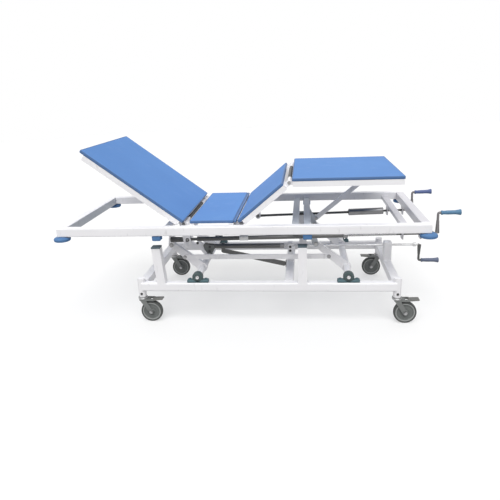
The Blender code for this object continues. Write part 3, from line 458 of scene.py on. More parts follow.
WHITE_COAT = PowderCoat("white_coat", *WHITE_PAINT)
# Painted shade: white paint greyed for the foot rail and crank crossbar, which stand in shade under the
# raised foot section.
PALE_PAINTED_SHADE_COAT = PowderCoat("pale_painted_shade_coat", (0.64, 0.63, 0.66), 0.38, (0.60, 0.59, 0.62))
# Deeper painted shade: white paint greyed for the two crossbars under the knee, which lie in shade under the
# boards.
GREY_PAINTED_SHADE_COAT = PowderCoat("grey_painted_shade_coat", (0.53, 0.56, 0.60), 0.40, (0.49, 0.52, 0.56))
LEVER_COAT = BandedCoat("lever_coat", *WHITE_PAINT)
# Painted shade: the head rail's sides are grey below its white top, for the shade that falls on them.
RAIL_SIDE_SHADE_COAT = BandedCoat(
    "rail_side_shade_coat", *WHITE_PAINT, axis=Axis.Z, middle=(RAIL_LOW + RAIL_TOP) / 2 - RAIL_LIT_EDGE,
    half=(RAIL_TOP - RAIL_LOW) / 2, dark=(0.50, 0.525, 0.56))
BLUE_SHEET = SheetFinish("blue_sheet", (0.108, 0.248, 0.552), 0.60, (0.095, 0.222, 0.505), 0.10)
NAVY_EDGING = SheetFinish("navy_edging", (0.090, 0.172, 0.350), 0.45, (0.075, 0.146, 0.300), 0.15, 300.0)
BLUE_RUBBER = RubberFinish("blue_rubber", (0.085, 0.185, 0.370), 0.55, (0.105, 0.215, 0.410), 0.15)
TEAL_GRIP = RubberFinish("teal_grip", (0.095, 0.205, 0.330), 0.40, (0.115, 0.235, 0.360), 0.25, 150.0)
INDIGO_GRIP = RubberFinish("indigo_grip", (0.090, 0.125, 0.270), 0.40, (0.110, 0.150, 0.310), 0.25, 150.0)
NAVY_GRIP = RubberFinish("navy_grip", (0.130, 0.155, 0.230), 0.40, (0.150, 0.175, 0.250), 0.25, 150.0)
TEAL_CAST = CastFinish("teal_cast", (0.092, 0.152, 0.172), 0.48, (0.130, 0.188, 0.206), 0.25)
DARK_CAST = CastFinish("dark_cast", (0.072, 0.100, 0.102), 0.48, (0.105, 0.132, 0.134), 0.25)
TEAL_CAP = RubberFinish("teal_cap", (0.092, 0.126, 0.144), 0.50, (0.112, 0.148, 0.164), 0.2)
BLACK_STEEL = SteelFinish("black_steel", (0.086, 0.087, 0.088), 0.36, (0.115, 0.112, 0.108), metallic=0.6)
GREY_STEEL = SteelFinish("grey_steel", (0.140, 0.140, 0.138), 0.38, (0.170, 0.167, 0.162), metallic=0.6)
BRIGHT_STEEL = SteelFinish("bright_steel", (0.70, 0.70, 0.71), 0.20, (0.58, 0.57, 0.56))
ROD_STEEL = SteelFinish("rod_steel", (0.62, 0.62, 0.625), 0.30, (0.54, 0.536, 0.532))
NUT_STEEL = SteelFinish("nut_steel", (0.26, 0.26, 0.265), 0.24, (0.19, 0.187, 0.183))
CRANK_STEEL = SteelFinish(
    "crank_arm_steel", (0.130, 0.133, 0.130), 0.48, (0.165, 0.165, 0.160), metallic=0.4)
ARM_STEEL = SteelFinish("grey_arm_steel", (0.215, 0.205, 0.210), 0.48, (0.255, 0.243, 0.248), metallic=0.4)
ZINC_STEEL = SteelFinish("zinc_steel", (0.50, 0.50, 0.505), 0.36, (0.38, 0.38, 0.38), drawn=(1.0, 1.0, 0.2))
PEDAL_STEEL = SteelFinish("pedal_steel", (0.21, 0.21, 0.20), 0.42, (0.16, 0.16, 0.152), metallic=0.6)
FORK_STEEL = SteelFinish("fork_steel", (0.20, 0.208, 0.204), 0.44, (0.145, 0.150, 0.147), metallic=0.5)
BOLT_STEEL = SteelFinish(
    "bolt_steel", (0.40, 0.40, 0.405), 0.32, (0.30, 0.296, 0.292), drawn=(1.0, 1.0, 1.0))
WHEEL_TREAD = RubberFinish("wheel_tread", (0.085, 0.090, 0.087), 0.66, (0.120, 0.124, 0.120), 0.25)
WHEEL_HUB = RubberFinish("wheel_hub", (0.145, 0.155, 0.151), 0.50, (0.185, 0.193, 0.188), 0.25, 180.0)
WHEEL_RIM = RubberFinish("wheel_rim", (0.300, 0.312, 0.306), 0.42, (0.340, 0.350, 0.344), 0.3, 180.0)


# Places in the frame


def joint(name: str) -> Line:
    """Position and axis of a joint of the frame."""
    found = next(row for row in frame["joints"] if row["name"] == name)
    return Vector(found["pos_m"]), Vector(found["axis"]).normalized()


def pivot(name: str) -> Vector:
    """Position of a joint of the frame."""
    return joint(name)[0]


def tilted(name: str, degrees: float) -> Matrix:
    """Frame at a hinge, turned about Y."""
    return Matrix.Translation(pivot(name)) @ Matrix.Rotation(math.radians(degrees), 4, "Y")


def node_points(node: str) -> List[Vector]:
    """Points of a CAD node's mesh."""
    return [vert.co for vert in frame["nodes"][node].data.vertices]


def local_box(node: str, place: Matrix) -> Line:
    """Box of a CAD node in a frame of its own.

    Args:
        node: The node's name.
        place: Matrix from that frame to the row's.

    Returns:
        Lowest and highest corner.
    """
    inverse = place.inverted()
    points = [inverse @ point for point in node_points(node)]
    low, high = (Vector([pick(point[i] for point in points) for i in range(3)]) for pick in (min, max))
    return low, high


def side_spot(x: float, y: float, z: float, side: float) -> Line:
    """Seat and outward direction of a fastener on a face that looks along Y."""
    return Vector((x, y, z)), Vector((0.0, side, 0.0))


# Mesh making


def dress(finish: Finish, *nodes: str) -> None:
    """Gives CAD nodes that stay in view their finish.

    Args:
        finish: The finish.
        nodes: The nodes' names.
    """
    for node in nodes:
        mesh = frame["nodes"][node].data
        mesh.materials.clear()
        mesh.materials.append(finish.material())
        LOG.info("%s dressed in %s", node, finish.name)


def linked(name: str, data: ID) -> Object:
    """Makes an object and links it to the scene.

    Args:
        name: The object's name.
        data: Its mesh, light or camera.

    Returns:
        The object.
    """
    made = bpy.data.objects.new(name, data)
    bpy.context.scene.collection.objects.link(made)
    return made


def new_object(name: str, shape: BMesh, *finishes: Finish) -> Object:
    """Makes an object from a bmesh.

    Args:
        name: The piece's name.
        shape: The mesh, which is freed.
        finishes: One finish for each material index.

    Returns:
        The object, linked to the scene.
    """
    mesh = bpy.data.meshes.new(name)
    bmesh.ops.remove_doubles(shape, verts=shape.verts, dist=MERGE_DISTANCE)
    bmesh.ops.recalc_face_normals(shape, faces=shape.faces)
    shape.to_mesh(mesh)
    shape.free()
    for finish in finishes:
        mesh.materials.append(finish.material())
    mesh.shade_smooth()
    mesh.set_sharp_from_angle(angle=SHARP_ANGLE)
    return linked(name, mesh)


def deliver(piece: Object, body: str, slot: Slot, *nodes: str) -> None:
    """Hands a finished piece over to the frame.

    Args:
        piece: The object, with its place in its mesh.
        body: The CAD body that it rides.
        slot: The record's material slot; not used.
        nodes: CAD nodes that it stands for.
    """
    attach(piece, body)
    if nodes:
        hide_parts(*nodes)
    LOG.info("%s rides %s", piece.name, body)


def circle(steps: int) -> List[Pair]:
    """Cosines and sines of evenly spaced angles round a full turn."""
    angles = (2 * math.pi * step / steps for step in range(steps))
    return [(math.cos(angle), math.sin(angle)) for angle in angles]


def laced(shape: BMesh, rings: Sequence[Sequence[BMVert]], index: int = 0, closed: bool = False) -> None:
    """Adds the faces between neighbouring rings of points.

    Args:
        shape: The mesh that is added to.
        rings: Rings of one count, apart from those that are a single point.
        index: Material index of the faces.
        closed: Whether the last ring also meets the first.
    """
    pairs = list(zip(rings, rings[1:]))
    if closed:
        pairs.append((rings[-1], rings[0]))
    for first, second in pairs:
        steps = max(len(first), len(second))
        for step in range(steps):
            after = (step + 1) % steps
            around = [first[step % len(first)], first[after % len(first)],
                      second[after % len(second)], second[step % len(second)]]
            unique = list(dict.fromkeys(around))
            if len(unique) > 2:
                shape.faces.new(unique).material_index = index


def spun(shape: BMesh, profile: Profile, place: Matrix, steps: int, index: int = 0,
         closed: bool = False) -> None:
    """Adds a turned form to a bmesh.

    Args:
        shape: The mesh that is added to.
        profile: (radius, height) points from one end to the other.
        place: Matrix from the lathe's frame to the row's.
        steps: Facets round the axis.
        index: Material index of the faces.
        closed: Whether the profile is a ring round a bore.
    """
    turn = circle(steps)
    rings = []
    for radius, height in profile:
        spots = [(radius * x, radius * y) for x, y in turn] if radius > 0.0 else [(0.0, 0.0)]
        rings.append([shape.verts.new(place @ Vector((x, y, height))) for x, y in spots])
    laced(shape, rings, index, closed)


def mirrored(profile: Profile) -> List[Pair]:
    """A turned profile, and its mirror image on the lathe's other side."""
    return [*profile, *((radius, -height) for radius, height in reversed(profile))]


def turned_bar(radius: float, start: float, end: float, edge: Pair, inner: float = 0.0) -> List[Pair]:
    """Profile of a turned bar with chamfered ends.

    Args:
        radius: Radius of the bar.
        start: Height of its upper end.
        end: Height of its lower end.
        edge: Size of the chamfers across and along the bar.
        inner: Radius of its bore.

    Returns:
        The (radius, height) points.
    """
    across, along = edge
    return [(inner, start), (radius - across, start), (radius, start - along),
            (radius, end + along), (radius - across, end), (inner, end)]


def block(size: Sequence[float], middle: Sequence[float]) -> BMesh:
    """Makes a plain box.

    Args:
        size: Its lengths along the axes.
        middle: Its centre.

    Returns:
        The box, in a mesh of its own.
    """
    box = bmesh.new()
    bmesh.ops.create_cube(box, size=1.0)
    bmesh.ops.scale(box, vec=size, verts=box.verts)
    bmesh.ops.translate(box, vec=middle, verts=box.verts)
    return box


def join_into(shape: BMesh, other: BMesh) -> None:
    """Copies one bmesh into another and frees it.

    Args:
        shape: The mesh that is added to.
        other: The mesh that is copied.
    """
    copies = {vert: shape.verts.new(vert.co) for vert in other.verts}
    for face in other.faces:
        shape.faces.new([copies[vert] for vert in face.verts])
    other.free()


def rounded_block(shape: BMesh, low: Sequence[float], high: Sequence[float], edge: float) -> None:
    """Adds a box with rounded edges to a bmesh.

    Args:
        shape: The mesh that is added to.
        low: Lowest corner.
        high: Highest corner.
        edge: Radius of the edges.
    """
    first, second = Vector(low), Vector(high)
    box = block(second - first, (second + first) / 2)
    bmesh.ops.bevel(box, geom=list(box.edges), offset=edge, segments=3, profile=0.5, affect="EDGES")
    join_into(shape, box)


def plate(shape: BMesh, outline: Profile, low_y: float, high_y: float, index: int = 0) -> None:
    """Adds a flat plate that stands along X and Z.

    Args:
        shape: The mesh that is added to.
        outline: Its (x, z) outline.
        low_y: Near face.
        high_y: Far face.
        index: Material index of the faces.
    """
    near, far = ([shape.verts.new((x, y, z)) for x, z in outline] for y in (low_y, high_y))
    sides = [(near[i - 1], far[i - 1], far[i], near[i]) for i in range(len(outline))]
    for around in [near, far[::-1], *sides]:
        shape.faces.new(around).material_index = index


def bent_route(corners: Sequence[Vector], bend: float, steps: int = 10) -> List[Vector]:
    """Centre line of a bar whose corners are bent to a radius.

    Args:
        corners: Ends and corners of the bar; the corners are square.
        bend: Radius of the bends.
        steps: Points in each bend.

    Returns:
        The points of the centre line.
    """
    route = [corners[0]]
    for before, corner, after in zip(corners, corners[1:], corners[2:]):
        back = (before - corner).normalized()
        ahead = (after - corner).normalized()
        centre = corner + (back + ahead) * bend
        for step in range(steps + 1):
            angle = math.pi / 2 * step / steps
            route.append(centre - ahead * bend * math.cos(angle) - back * bend * math.sin(angle))
    route.append(corners[-1])
    return route


def swept(shape: BMesh, route: Sequence[Vector], across: Vector, radius: float, steps: int) -> None:
    """Adds a round bar along a route that lies in one plane.

    Args:
        shape: The mesh that is added to.
        route: Points of the centre line.
        across: Unit normal of the route's plane.
        radius: Radius of the bar.
        steps: Facets round the bar.
    """
    turn = circle(steps)
    rings = []
    for number, point in enumerate(route):
        before = route[max(number - 1, 0)]
        after = route[min(number + 1, len(route) - 1)]
        up = across.cross((after - before).normalized())
        rings.append([shape.verts.new(point + (across * x + up * y) * radius) for x, y in turn])
    laced(shape, rings)
    for ring in (rings[0], rings[-1]):
        shape.faces.new(ring)


# Repeats made with Geometry Nodes


def aimed_mesh(name: str, spots: Sequence[Line]) -> Mesh:
    """Mesh of loose points, each with its aim.

    Args:
        name: The mesh's name.
        spots: Place and aim of each point.

    Returns:
        The mesh.
    """
    mesh = bpy.data.meshes.new(name)
    mesh.from_pydata([spot for spot, _ in spots], [], [])
    aims = mesh.attributes.new("aim", "FLOAT_VECTOR", "POINT")
    for row, (_, aim) in zip(aims.data, spots):
        row.vector = aim
    return mesh


class RepeatTree(Wiring):
    """A geometry node tree with named inputs, applied to a mesh of places."""

    def __init__(self, name: str) -> None:
        """Starts a tree with a geometry input and output.

        Args:
            name: The tree's name.
        """
        super().__init__(bpy.data.node_groups.new(name, "GeometryNodeTree"))
        for way in ("INPUT", "OUTPUT"):
            self.tree.interface.new_socket("Geometry", in_out=way, socket_type="NodeSocketGeometry")
        self.start = self.tree.nodes.new("NodeGroupInput")
        self.end = self.tree.nodes.new("NodeGroupOutput")
        self.identifiers: Dict[str, str] = {}

    def size(self, name: str, kind: str = "NodeSocketFloat") -> Flow:
        """Adds a named input.

        Args:
            name: The input's name.
            kind: Its socket type.

        Returns:
            The socket inside the tree.
        """
        made = self.tree.interface.new_socket(name, in_out="INPUT", socket_type=kind)
        self.identifiers[name] = made.identifier
        return Flow(self, self.start.outputs[name])

    def places(self) -> Flow:
        """The mesh of places that the tree works on."""
        return Flow(self, self.start.outputs["Geometry"])

    def aimed(self, part: Flow) -> None:
        """Sets a part on every place, turned to the place's aim, and ends the tree.

        Args:
            part: Geometry of the part.
        """
        points = self.node("GeometryNodeMeshToPoints", {}, {0: self.places()})
        aim = self.node("GeometryNodeInputNamedAttribute", {"data_type": "FLOAT_VECTOR"}, {"Name": "aim"})
        turn = self.node("FunctionNodeAlignRotationToVector", {"axis": "Z"}, {"Vector": aim})
        self.close({"Points": points, "Instance": part, "Rotation": turn})

    def close(self, instances: Dict[str, Flow]) -> None:
        """Ends the tree in instances on points, Realize Instances and Set Material.

        Args:
            instances: Inputs of the node that sets the instances on their points.
        """
        placed = self.node("GeometryNodeInstanceOnPoints", {}, instances)
        real = self.node("GeometryNodeRealizeInstances", {}, {0: placed})
        material = self.size("Material", "NodeSocketMaterial")
        coloured = self.node("GeometryNodeSetMaterial", {}, {"Geometry": real, "Material": material})
        self.feed(self.end.inputs[0], coloured)

    def grown(self, name: str, places: Mesh, sizes: Dict[str, float], finish: Finish) -> Object:
        """Applies the tree to a mesh of places and keeps the result as a plain mesh.

        Args:
            name: The piece's name.
            places: The mesh that the tree works on.
            sizes: Values of the named inputs.
            finish: The finish of what it makes.

        Returns:
            The new object.
        """
        seed = linked(name + "_places", places)
        step = seed.modifiers.new("repeat", "NODES")
        step.node_group = self.tree
        for key, value in sizes.items():
            step[self.identifiers[key]] = value
        step[self.identifiers["Material"]] = finish.material()
        graph = bpy.context.evaluated_depsgraph_get()
        mesh = bpy.data.meshes.new_from_object(seed.evaluated_get(graph))
        bpy.data.objects.remove(seed, do_unlink=True)
        mesh.name = name
        return linked(name, mesh)


@dataclass(frozen=True)
class Bolt:
    """A fastener: radius and height of its head and of its washer, and their finish."""

    head: Pair
    washer: Pair
    finish: Finish = BOLT_STEEL


class FastenerTree(RepeatTree):
    """Hexagon heads on washers, one at each point, facing the point's aim."""

    names = ("Head Radius", "Head Height", "Washer Radius", "Washer Height")
    crown_height = 0.0012

    def __init__(self) -> None:
        """Builds the tree."""
        super().__init__("fasteners")
        head_radius, head_height, washer_radius, washer_height = map(self.size, self.names)
        washer = self.node("GeometryNodeMeshCylinder", {}, {
            "Vertices": 20, "Radius": washer_radius, "Depth": washer_height})
        head = self.node("GeometryNodeMeshCylinder", {}, {
            "Vertices": 6, "Radius": head_radius, "Depth": head_height})
        crown = self.node("GeometryNodeMeshCone", {}, {
            "Vertices": 18, "Radius Top": 0.0, "Radius Bottom": head_radius, "Depth": self.crown_height})
        raised = []
        for part, height in (
            (washer, washer_height * 0.5), (head, washer_height + head_height * 0.5),
            (crown, washer_height + head_height),
        ):
            lift = self.node("ShaderNodeCombineXYZ", {}, {"Z": height})
            raised.append(self.node("GeometryNodeTransform", {}, {0: part, "Translation": lift}))
        self.aimed(self.node("GeometryNodeJoinGeometry", {}, {0: raised}))

    def at(self, name: str, spots: Sequence[Line], bolt: Bolt) -> Object:
        """Fasteners of one kind in one object, at given seats."""
        sizes = dict(zip(self.names, bolt.head + bolt.washer))
        return self.grown(name, aimed_mesh(name + "_spots", spots), sizes, bolt.finish)


class WeldTree(RepeatTree):
    """Weld beads: overlapping drops along every edge of the places mesh."""

    pitch_share = 1.1

    def __init__(self) -> None:
        """Builds the tree."""
        super().__init__("weld_beads")
        radius, pitch = self.size("Bead Radius"), self.size("Bead Pitch")
        line = self.node("GeometryNodeMeshToCurve", {}, {0: self.places()})
        points = self.node("GeometryNodeCurveToPoints", {"mode": "LENGTH"}, {"Curve": line, "Length": pitch})
        drop = self.node("GeometryNodeMeshIcoSphere", {}, {"Radius": radius, "Subdivisions": 2})
        uneven = self.node(
            "FunctionNodeRandomValue", {"data_type": "FLOAT"}, {2: 0.8, 3: 1.12, "Seed": 4}, 1)
        self.close({"Points": points, "Instance": drop, "Scale": uneven})

    def runs(self, name: str, lines: Sequence[Line], radius: float, finish: Finish) -> Object:
        """Beads along straight runs.

        Args:
            name: The piece's name.
            lines: Start and end of each run.
            radius: Radius of the bead.
            finish: Their finish.

        Returns:
            One object with all of them.
        """
        points = [point for line in lines for point in line]
        mesh = bpy.data.meshes.new(name + "_runs")
        mesh.from_pydata(points, [(2 * i, 2 * i + 1) for i in range(len(lines))], [])
        sizes = {"Bead Radius": radius, "Bead Pitch": radius * self.pitch_share}
        return self.grown(name, mesh, sizes, finish)


class ThreadTree(RepeatTree):
    """A screw thread: a ridge that winds up along the aim of each point."""

    ridge_share = 0.27

    def __init__(self) -> None:
        """Builds the tree."""
        super().__init__("screw_thread")
        core, ridge = self.size("Core Radius"), self.size("Ridge Radius")
        length, turns = self.size("Length"), self.size("Turns")
        helix = self.node("GeometryNodeCurveSpiral", {}, {
            "Resolution": 18, "Rotations": turns, "Start Radius": core, "End Radius": core, "Height": length})
        section = self.node("GeometryNodeCurvePrimitiveCircle", {"mode": "RADIUS"}, {
            "Resolution": 5, "Radius": ridge})
        self.aimed(self.node("GeometryNodeCurveToMesh", {}, {
            "Curve": helix, "Profile Curve": section, "Fill Caps": True}))

    def wound(self, name: str, spot: Line, length: float, core: float, pitch: float,
              finish: Finish) -> Object:
        """A thread along a straight screw.

        Args:
            name: The piece's name.
            spot: Where the thread starts, and the unit vector along the screw.
            length: Length of the thread.
            core: Radius of the screw.
            pitch: Distance between turns.
            finish: Its finish.

        Returns:
            The thread.
        """
        ridge = pitch * self.ridge_share
        sizes = {"Core Radius": core, "Ridge Radius": ridge, "Length": length, "Turns": length / pitch}
        return self.grown(name, aimed_mesh(name + "_start", [spot]), sizes, finish)


@dataclass
class Shop:
    """The node trees that several sub-assemblies use."""

    fasteners: FastenerTree = field(default_factory=FastenerTree)
    welds: WeldTree = field(default_factory=WeldTree)
    threads: ThreadTree = field(default_factory=ThreadTree)
    bead: float = 0.0026

    def fasten(self, name: str, body: str, spots: Sequence[Line], bolt: Bolt) -> None:
        """Delivers fasteners of one kind on a body, at given seats."""
        deliver(self.fasteners.at(name, spots, bolt), body, Slot.CASTOR)

    def weld(self, name: str, body: str, lines: Sequence[Line]) -> None:
        """Delivers painted weld beads on a body, along straight runs."""
        deliver(self.welds.runs(name, lines, self.bead, WHITE_COAT), body, Slot.FRAME)


# Sub-assemblies


@dataclass
class Assembly:
    """A sub-assembly, with the shop that makes its repeats."""

    shop: Shop

    def build(self) -> None:
        """Builds and delivers the pieces."""
        raise NotImplementedError


@dataclass
class Section:
    """A board of the platform with its edging, on its own hinged frame."""

    node: str
    body: str
    place: Matrix
    corner: float = 0.012
    least_corner: float = 0.002
    corner_steps: int = 6
    edge_roll: float = 0.0030
    edging_width: float = 0.0045
    groove: Triple = (0.0004, 0.0010, 0.0016)
    groove_deep: float = 0.0007

    def outline(self, low: Vector, high: Vector, inset: float) -> List[Pair]:
        """Rounded rectangle of the board.

        Args:
            low: Lowest corner of the board.
            high: Highest corner.
            inset: Distance in from the edge.

        Returns:
            Points of the outline.
        """
        radius = max(self.corner - inset, self.least_corner)
        left, right = low.x + inset + radius, high.x - inset - radius
        near, far = low.y + inset + radius, high.y - inset - radius
        points = []
        for quarter, (x, y) in enumerate(((right, far), (left, far), (left, near), (right, near))):
            for step in range(self.corner_steps + 1):
                angle = math.pi / 2 * (quarter + step / self.corner_steps)
                points.append((x + radius * math.cos(angle), y + radius * math.sin(angle)))
        return points

    def build(self) -> None:
        """Lofts the board and delivers it in place of its CAD node."""
        low, high = local_box(self.node, self.place)
        roll, lip, foot, top = self.edge_roll, self.edging_width, low.z, high.z
        groove = [lip + reach for reach in self.groove]
        edging = [
            (lip, foot), (roll * 0.35, foot + roll * 0.3), (0.0, foot + roll), (0.0, top - roll),
            (roll * 0.3, top - roll * 0.35), (roll, top), (lip, top), (groove[0], top - self.groove_deep)]
        sheet = [(groove[1], top - self.groove_deep), (groove[2], top)]
        shape = bmesh.new()
        loops = [
            [shape.verts.new(self.place @ Vector((x, y, z))) for x, y in self.outline(low, high, inset)]
            for inset, z in edging + sheet]
        laced(shape, loops[:len(edging)], 1)
        laced(shape, loops[len(edging) - 1:])
        shape.faces.new(loops[-1])
        shape.faces.new(loops[0][::-1])
        piece = new_object(self.node.replace("_panel", "_board"), shape, BLUE_SHEET, NAVY_EDGING)
        deliver(piece, self.body, Slot.PANEL, self.node)


@dataclass
class Platform(Assembly):
    """The lifting frame with its sections, hinges, stops and bumpers."""

    back_angle: float = 37.0
    thigh_angle: float = 39.5
    hinge_y: float = 0.330
    hinge_reach: float = 0.0163
    strut_reach: float = 0.0143
    pin: Bolt = Bolt((0.0080, 0.0040), (0.0098, 0.0012))
    hanger_y: float = 0.220
    hanger_reach: float = 0.0203
    hanger_pin: Bolt = Bolt((0.0105, 0.0050), (0.0130, 0.0015))
    axle: float = 0.0115
    axle_bare: float = 0.200
    sleeve: float = 0.0105
    sleeve_edge: float = 0.001
    trim_width: float = 0.0140
    trim_lap: float = 0.0005
    trim_inset: float = 0.003
    trim_foot: float = 0.001
    trim_drop: float = 0.0015
    trim_edge: float = 0.0045
    bead_inset: float = 0.002
    bead_foot: float = 0.001
    bumper_bolt: Bolt = Bolt((0.0075, 0.0045), (0.0105, 0.0012))
    bumper: Profile = (
        (0.0, 0.0), (0.52, 0.0), (0.60, 0.10), (0.86, 0.20), (0.955, 0.32), (1.0, 0.52), (1.0, 0.64),
        (0.985, 0.68), (0.985, 0.73), (1.0, 0.77), (0.965, 0.93), (0.90, 1.0), (0.34, 1.0), (0.30, 0.62),
        (0.0, 0.62))

    def sections(self) -> List[Section]:
        """Lays out the boards.

        Returns:
            The four sections, from the head end.
        """
        level = Matrix.Identity(4)
        return [
            Section("backrest_panel", "backrest", tilted("backrest_tilt", self.back_angle)),
            Section("seat_panel", "upper_frame", level),
            Section("thigh_panel", "thigh", tilted("knee_bend", -self.thigh_angle)),
            Section("foot_panel", "foot_section", level),
        ]

    def coat(self) -> None:
        """Gives the frame's CAD nodes their paint and rubber, with painted shade in the paint of some bars.
        """
        dress(WHITE_COAT, "near_rail", "far_rail", "head_lift_crossbar", "seat_head_bar", "seat_foot_bar",
              "backrest_frame", "thigh_frame", "foot_frame", "foot_strut")
        # Painted shade on the foot rail and crank crossbar.
        dress(PALE_PAINTED_SHADE_COAT, "foot_rail", "crank_crossbar")
        # Deeper painted shade on the two crossbars under the knee.
        dress(GREY_PAINTED_SHADE_COAT, "mid_crossbar", "foot_lift_crossbar")
        # Painted shade on the head rail's sides.
        dress(RAIL_SIDE_SHADE_COAT, "head_rail")
        dress(BLUE_RUBBER, *(corner + "_stop" for corner in CORNERS))

    def pins(self, point: Vector, middle_y: Sequence[float], reach: float) -> List[Line]:
        """Heads at both ends of the pins on one hinge line; reach is half the width of a clevis."""
        return [side_spot(point.x, y + side * reach, point.z, side) for y in middle_y for side in SIDES]

    def hinges(self) -> None:
        """Pin heads on every clevis of the platform."""
        pair, hangers = (-self.hinge_y, self.hinge_y), (-self.hanger_y, self.hanger_y)
        thigh, knee, strut = pivot("knee_bend"), pivot("foot_level"), pivot("strut_swing")
        fixed = self.pins(pivot("backrest_tilt"), pair, self.hinge_reach)
        fixed += self.pins(thigh, pair, self.hinge_reach)
        fixed += self.pins(strut, (0.0,), self.strut_reach)
        self.shop.fasten("frame_hinge_pins", "upper_frame", fixed, self.pin)
        lift, pitch = pivot("upper_frame_level"), pivot("foot_lift_turn").x - pivot("hi_lo").x
        hung = self.pins(lift, hangers, self.hanger_reach)
        hung += self.pins(lift + Vector((pitch, 0.0, 0.0)), hangers, self.hanger_reach)
        self.shop.fasten("hanger_pins", "upper_frame", hung, self.hanger_pin)
        moving = self.pins(knee, pair, self.hinge_reach)
        moving += self.pins(strut + knee - thigh, (0.0,), self.strut_reach)
        self.shop.fasten("knee_hinge_pins", "foot_section", moving, self.pin)

    def axles(self) -> None:
        """Hinge axles of the backrest and the knee: a dark tube over a painted bar."""
        bare, lug = self.axle_bare, self.hinge_y - self.hinge_reach
        sleeve, edge = self.sleeve, self.sleeve_edge
        for name, turning, body in (
            ("backrest_axle", "backrest_tilt", "upper_frame"), ("knee_axle", "foot_level", "foot_section"),
        ):
            along = Axis.Y.at((pivot(turning).x, 0.0, pivot(turning).z))
            shape = bmesh.new()
            spun(shape, [(0.0, -bare), (self.axle, -bare), (self.axle, bare), (0.0, bare)], along, 32)
            for side in SIDES:
                spun(shape, [
                    (0.0, side * bare), (sleeve - edge, side * bare), (sleeve, side * (bare + edge)),
                    (sleeve, side * lug), (0.0, side * lug)], along, 32, 1)
            deliver(new_object(name, shape, BLACK_STEEL, WHITE_COAT), body, Slot.DRIVE)

    def trim(self) -> None:
        """Navy edge strip along the foot side of the seat board, which also stands in for the shade in the
        gap between the seat and thigh boards.
        """
        low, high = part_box("seat_panel")
        inset = self.trim_inset
        shape = bmesh.new()
        rounded_block(
            shape, (high.x - self.trim_lap, low.y + inset, low.z + self.trim_foot),
            (high.x + self.trim_width, high.y - inset, high.z - self.trim_drop), self.trim_edge)
        deliver(new_object("seat_edge_trim_and_gap_shade", shape, NAVY_EDGING), "upper_frame", Slot.PANEL)

    def beads(self) -> None:
        """Weld beads where the bars meet the long rails, whose places are read from the bars' end faces."""
        lines: List[Line] = []
        rail_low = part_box("near_rail")[0].z
        for name in (
            "head_rail", "foot_rail", "head_lift_crossbar", "mid_crossbar", "foot_lift_crossbar",
            "crank_crossbar", "seat_head_bar", "seat_foot_bar",
        ):
            low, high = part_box(name)
            ends = [point.x for point in node_points(name) if point.y < low.y + self.bead_inset]
            span = (min(ends) + self.bead_inset, max(ends) - self.bead_inset)
            foot = max(low.z, rail_low) + self.bead_foot
            for y in (low.y, high.y):
                lines.append((Vector((span[0], y, high.z)), Vector((span[1], y, high.z))))
                lines += [(Vector((x, y, foot)), Vector((x, y, high.z))) for x in span]
        self.shop.weld("frame_welds", "upper_frame", lines)

    def bumpers(self) -> None:
        """Round corner bumpers with a groove and a sunk bolt."""
        for corner in CORNERS:
            name = corner + "_bumper"
            low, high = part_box(name)
            radius, thick = (high.x - low.x) / 2, high.z - low.z
            middle = Vector(((low.x + high.x) / 2, (low.y + high.y) / 2, high.z))
            profile = [(radius * reach, -thick * depth) for reach, depth in self.bumper]
            shape = bmesh.new()
            spun(shape, profile, Axis.Z.at(middle), 64)
            deliver(new_object(name + "_disc", shape, BLUE_RUBBER), name, Slot.BUMPER, name)
            seat = middle + UP * profile[-1][1]
            self.shop.fasten(name + "_bolt", name, [(seat, -UP)], self.bumper_bolt)

    def build(self) -> None:
        """Builds and dresses the platform."""
        self.coat()
        for section in self.sections():
            section.build()
        self.hinges()
        self.axles()
        self.trim()
        self.beads()
        self.bumpers()


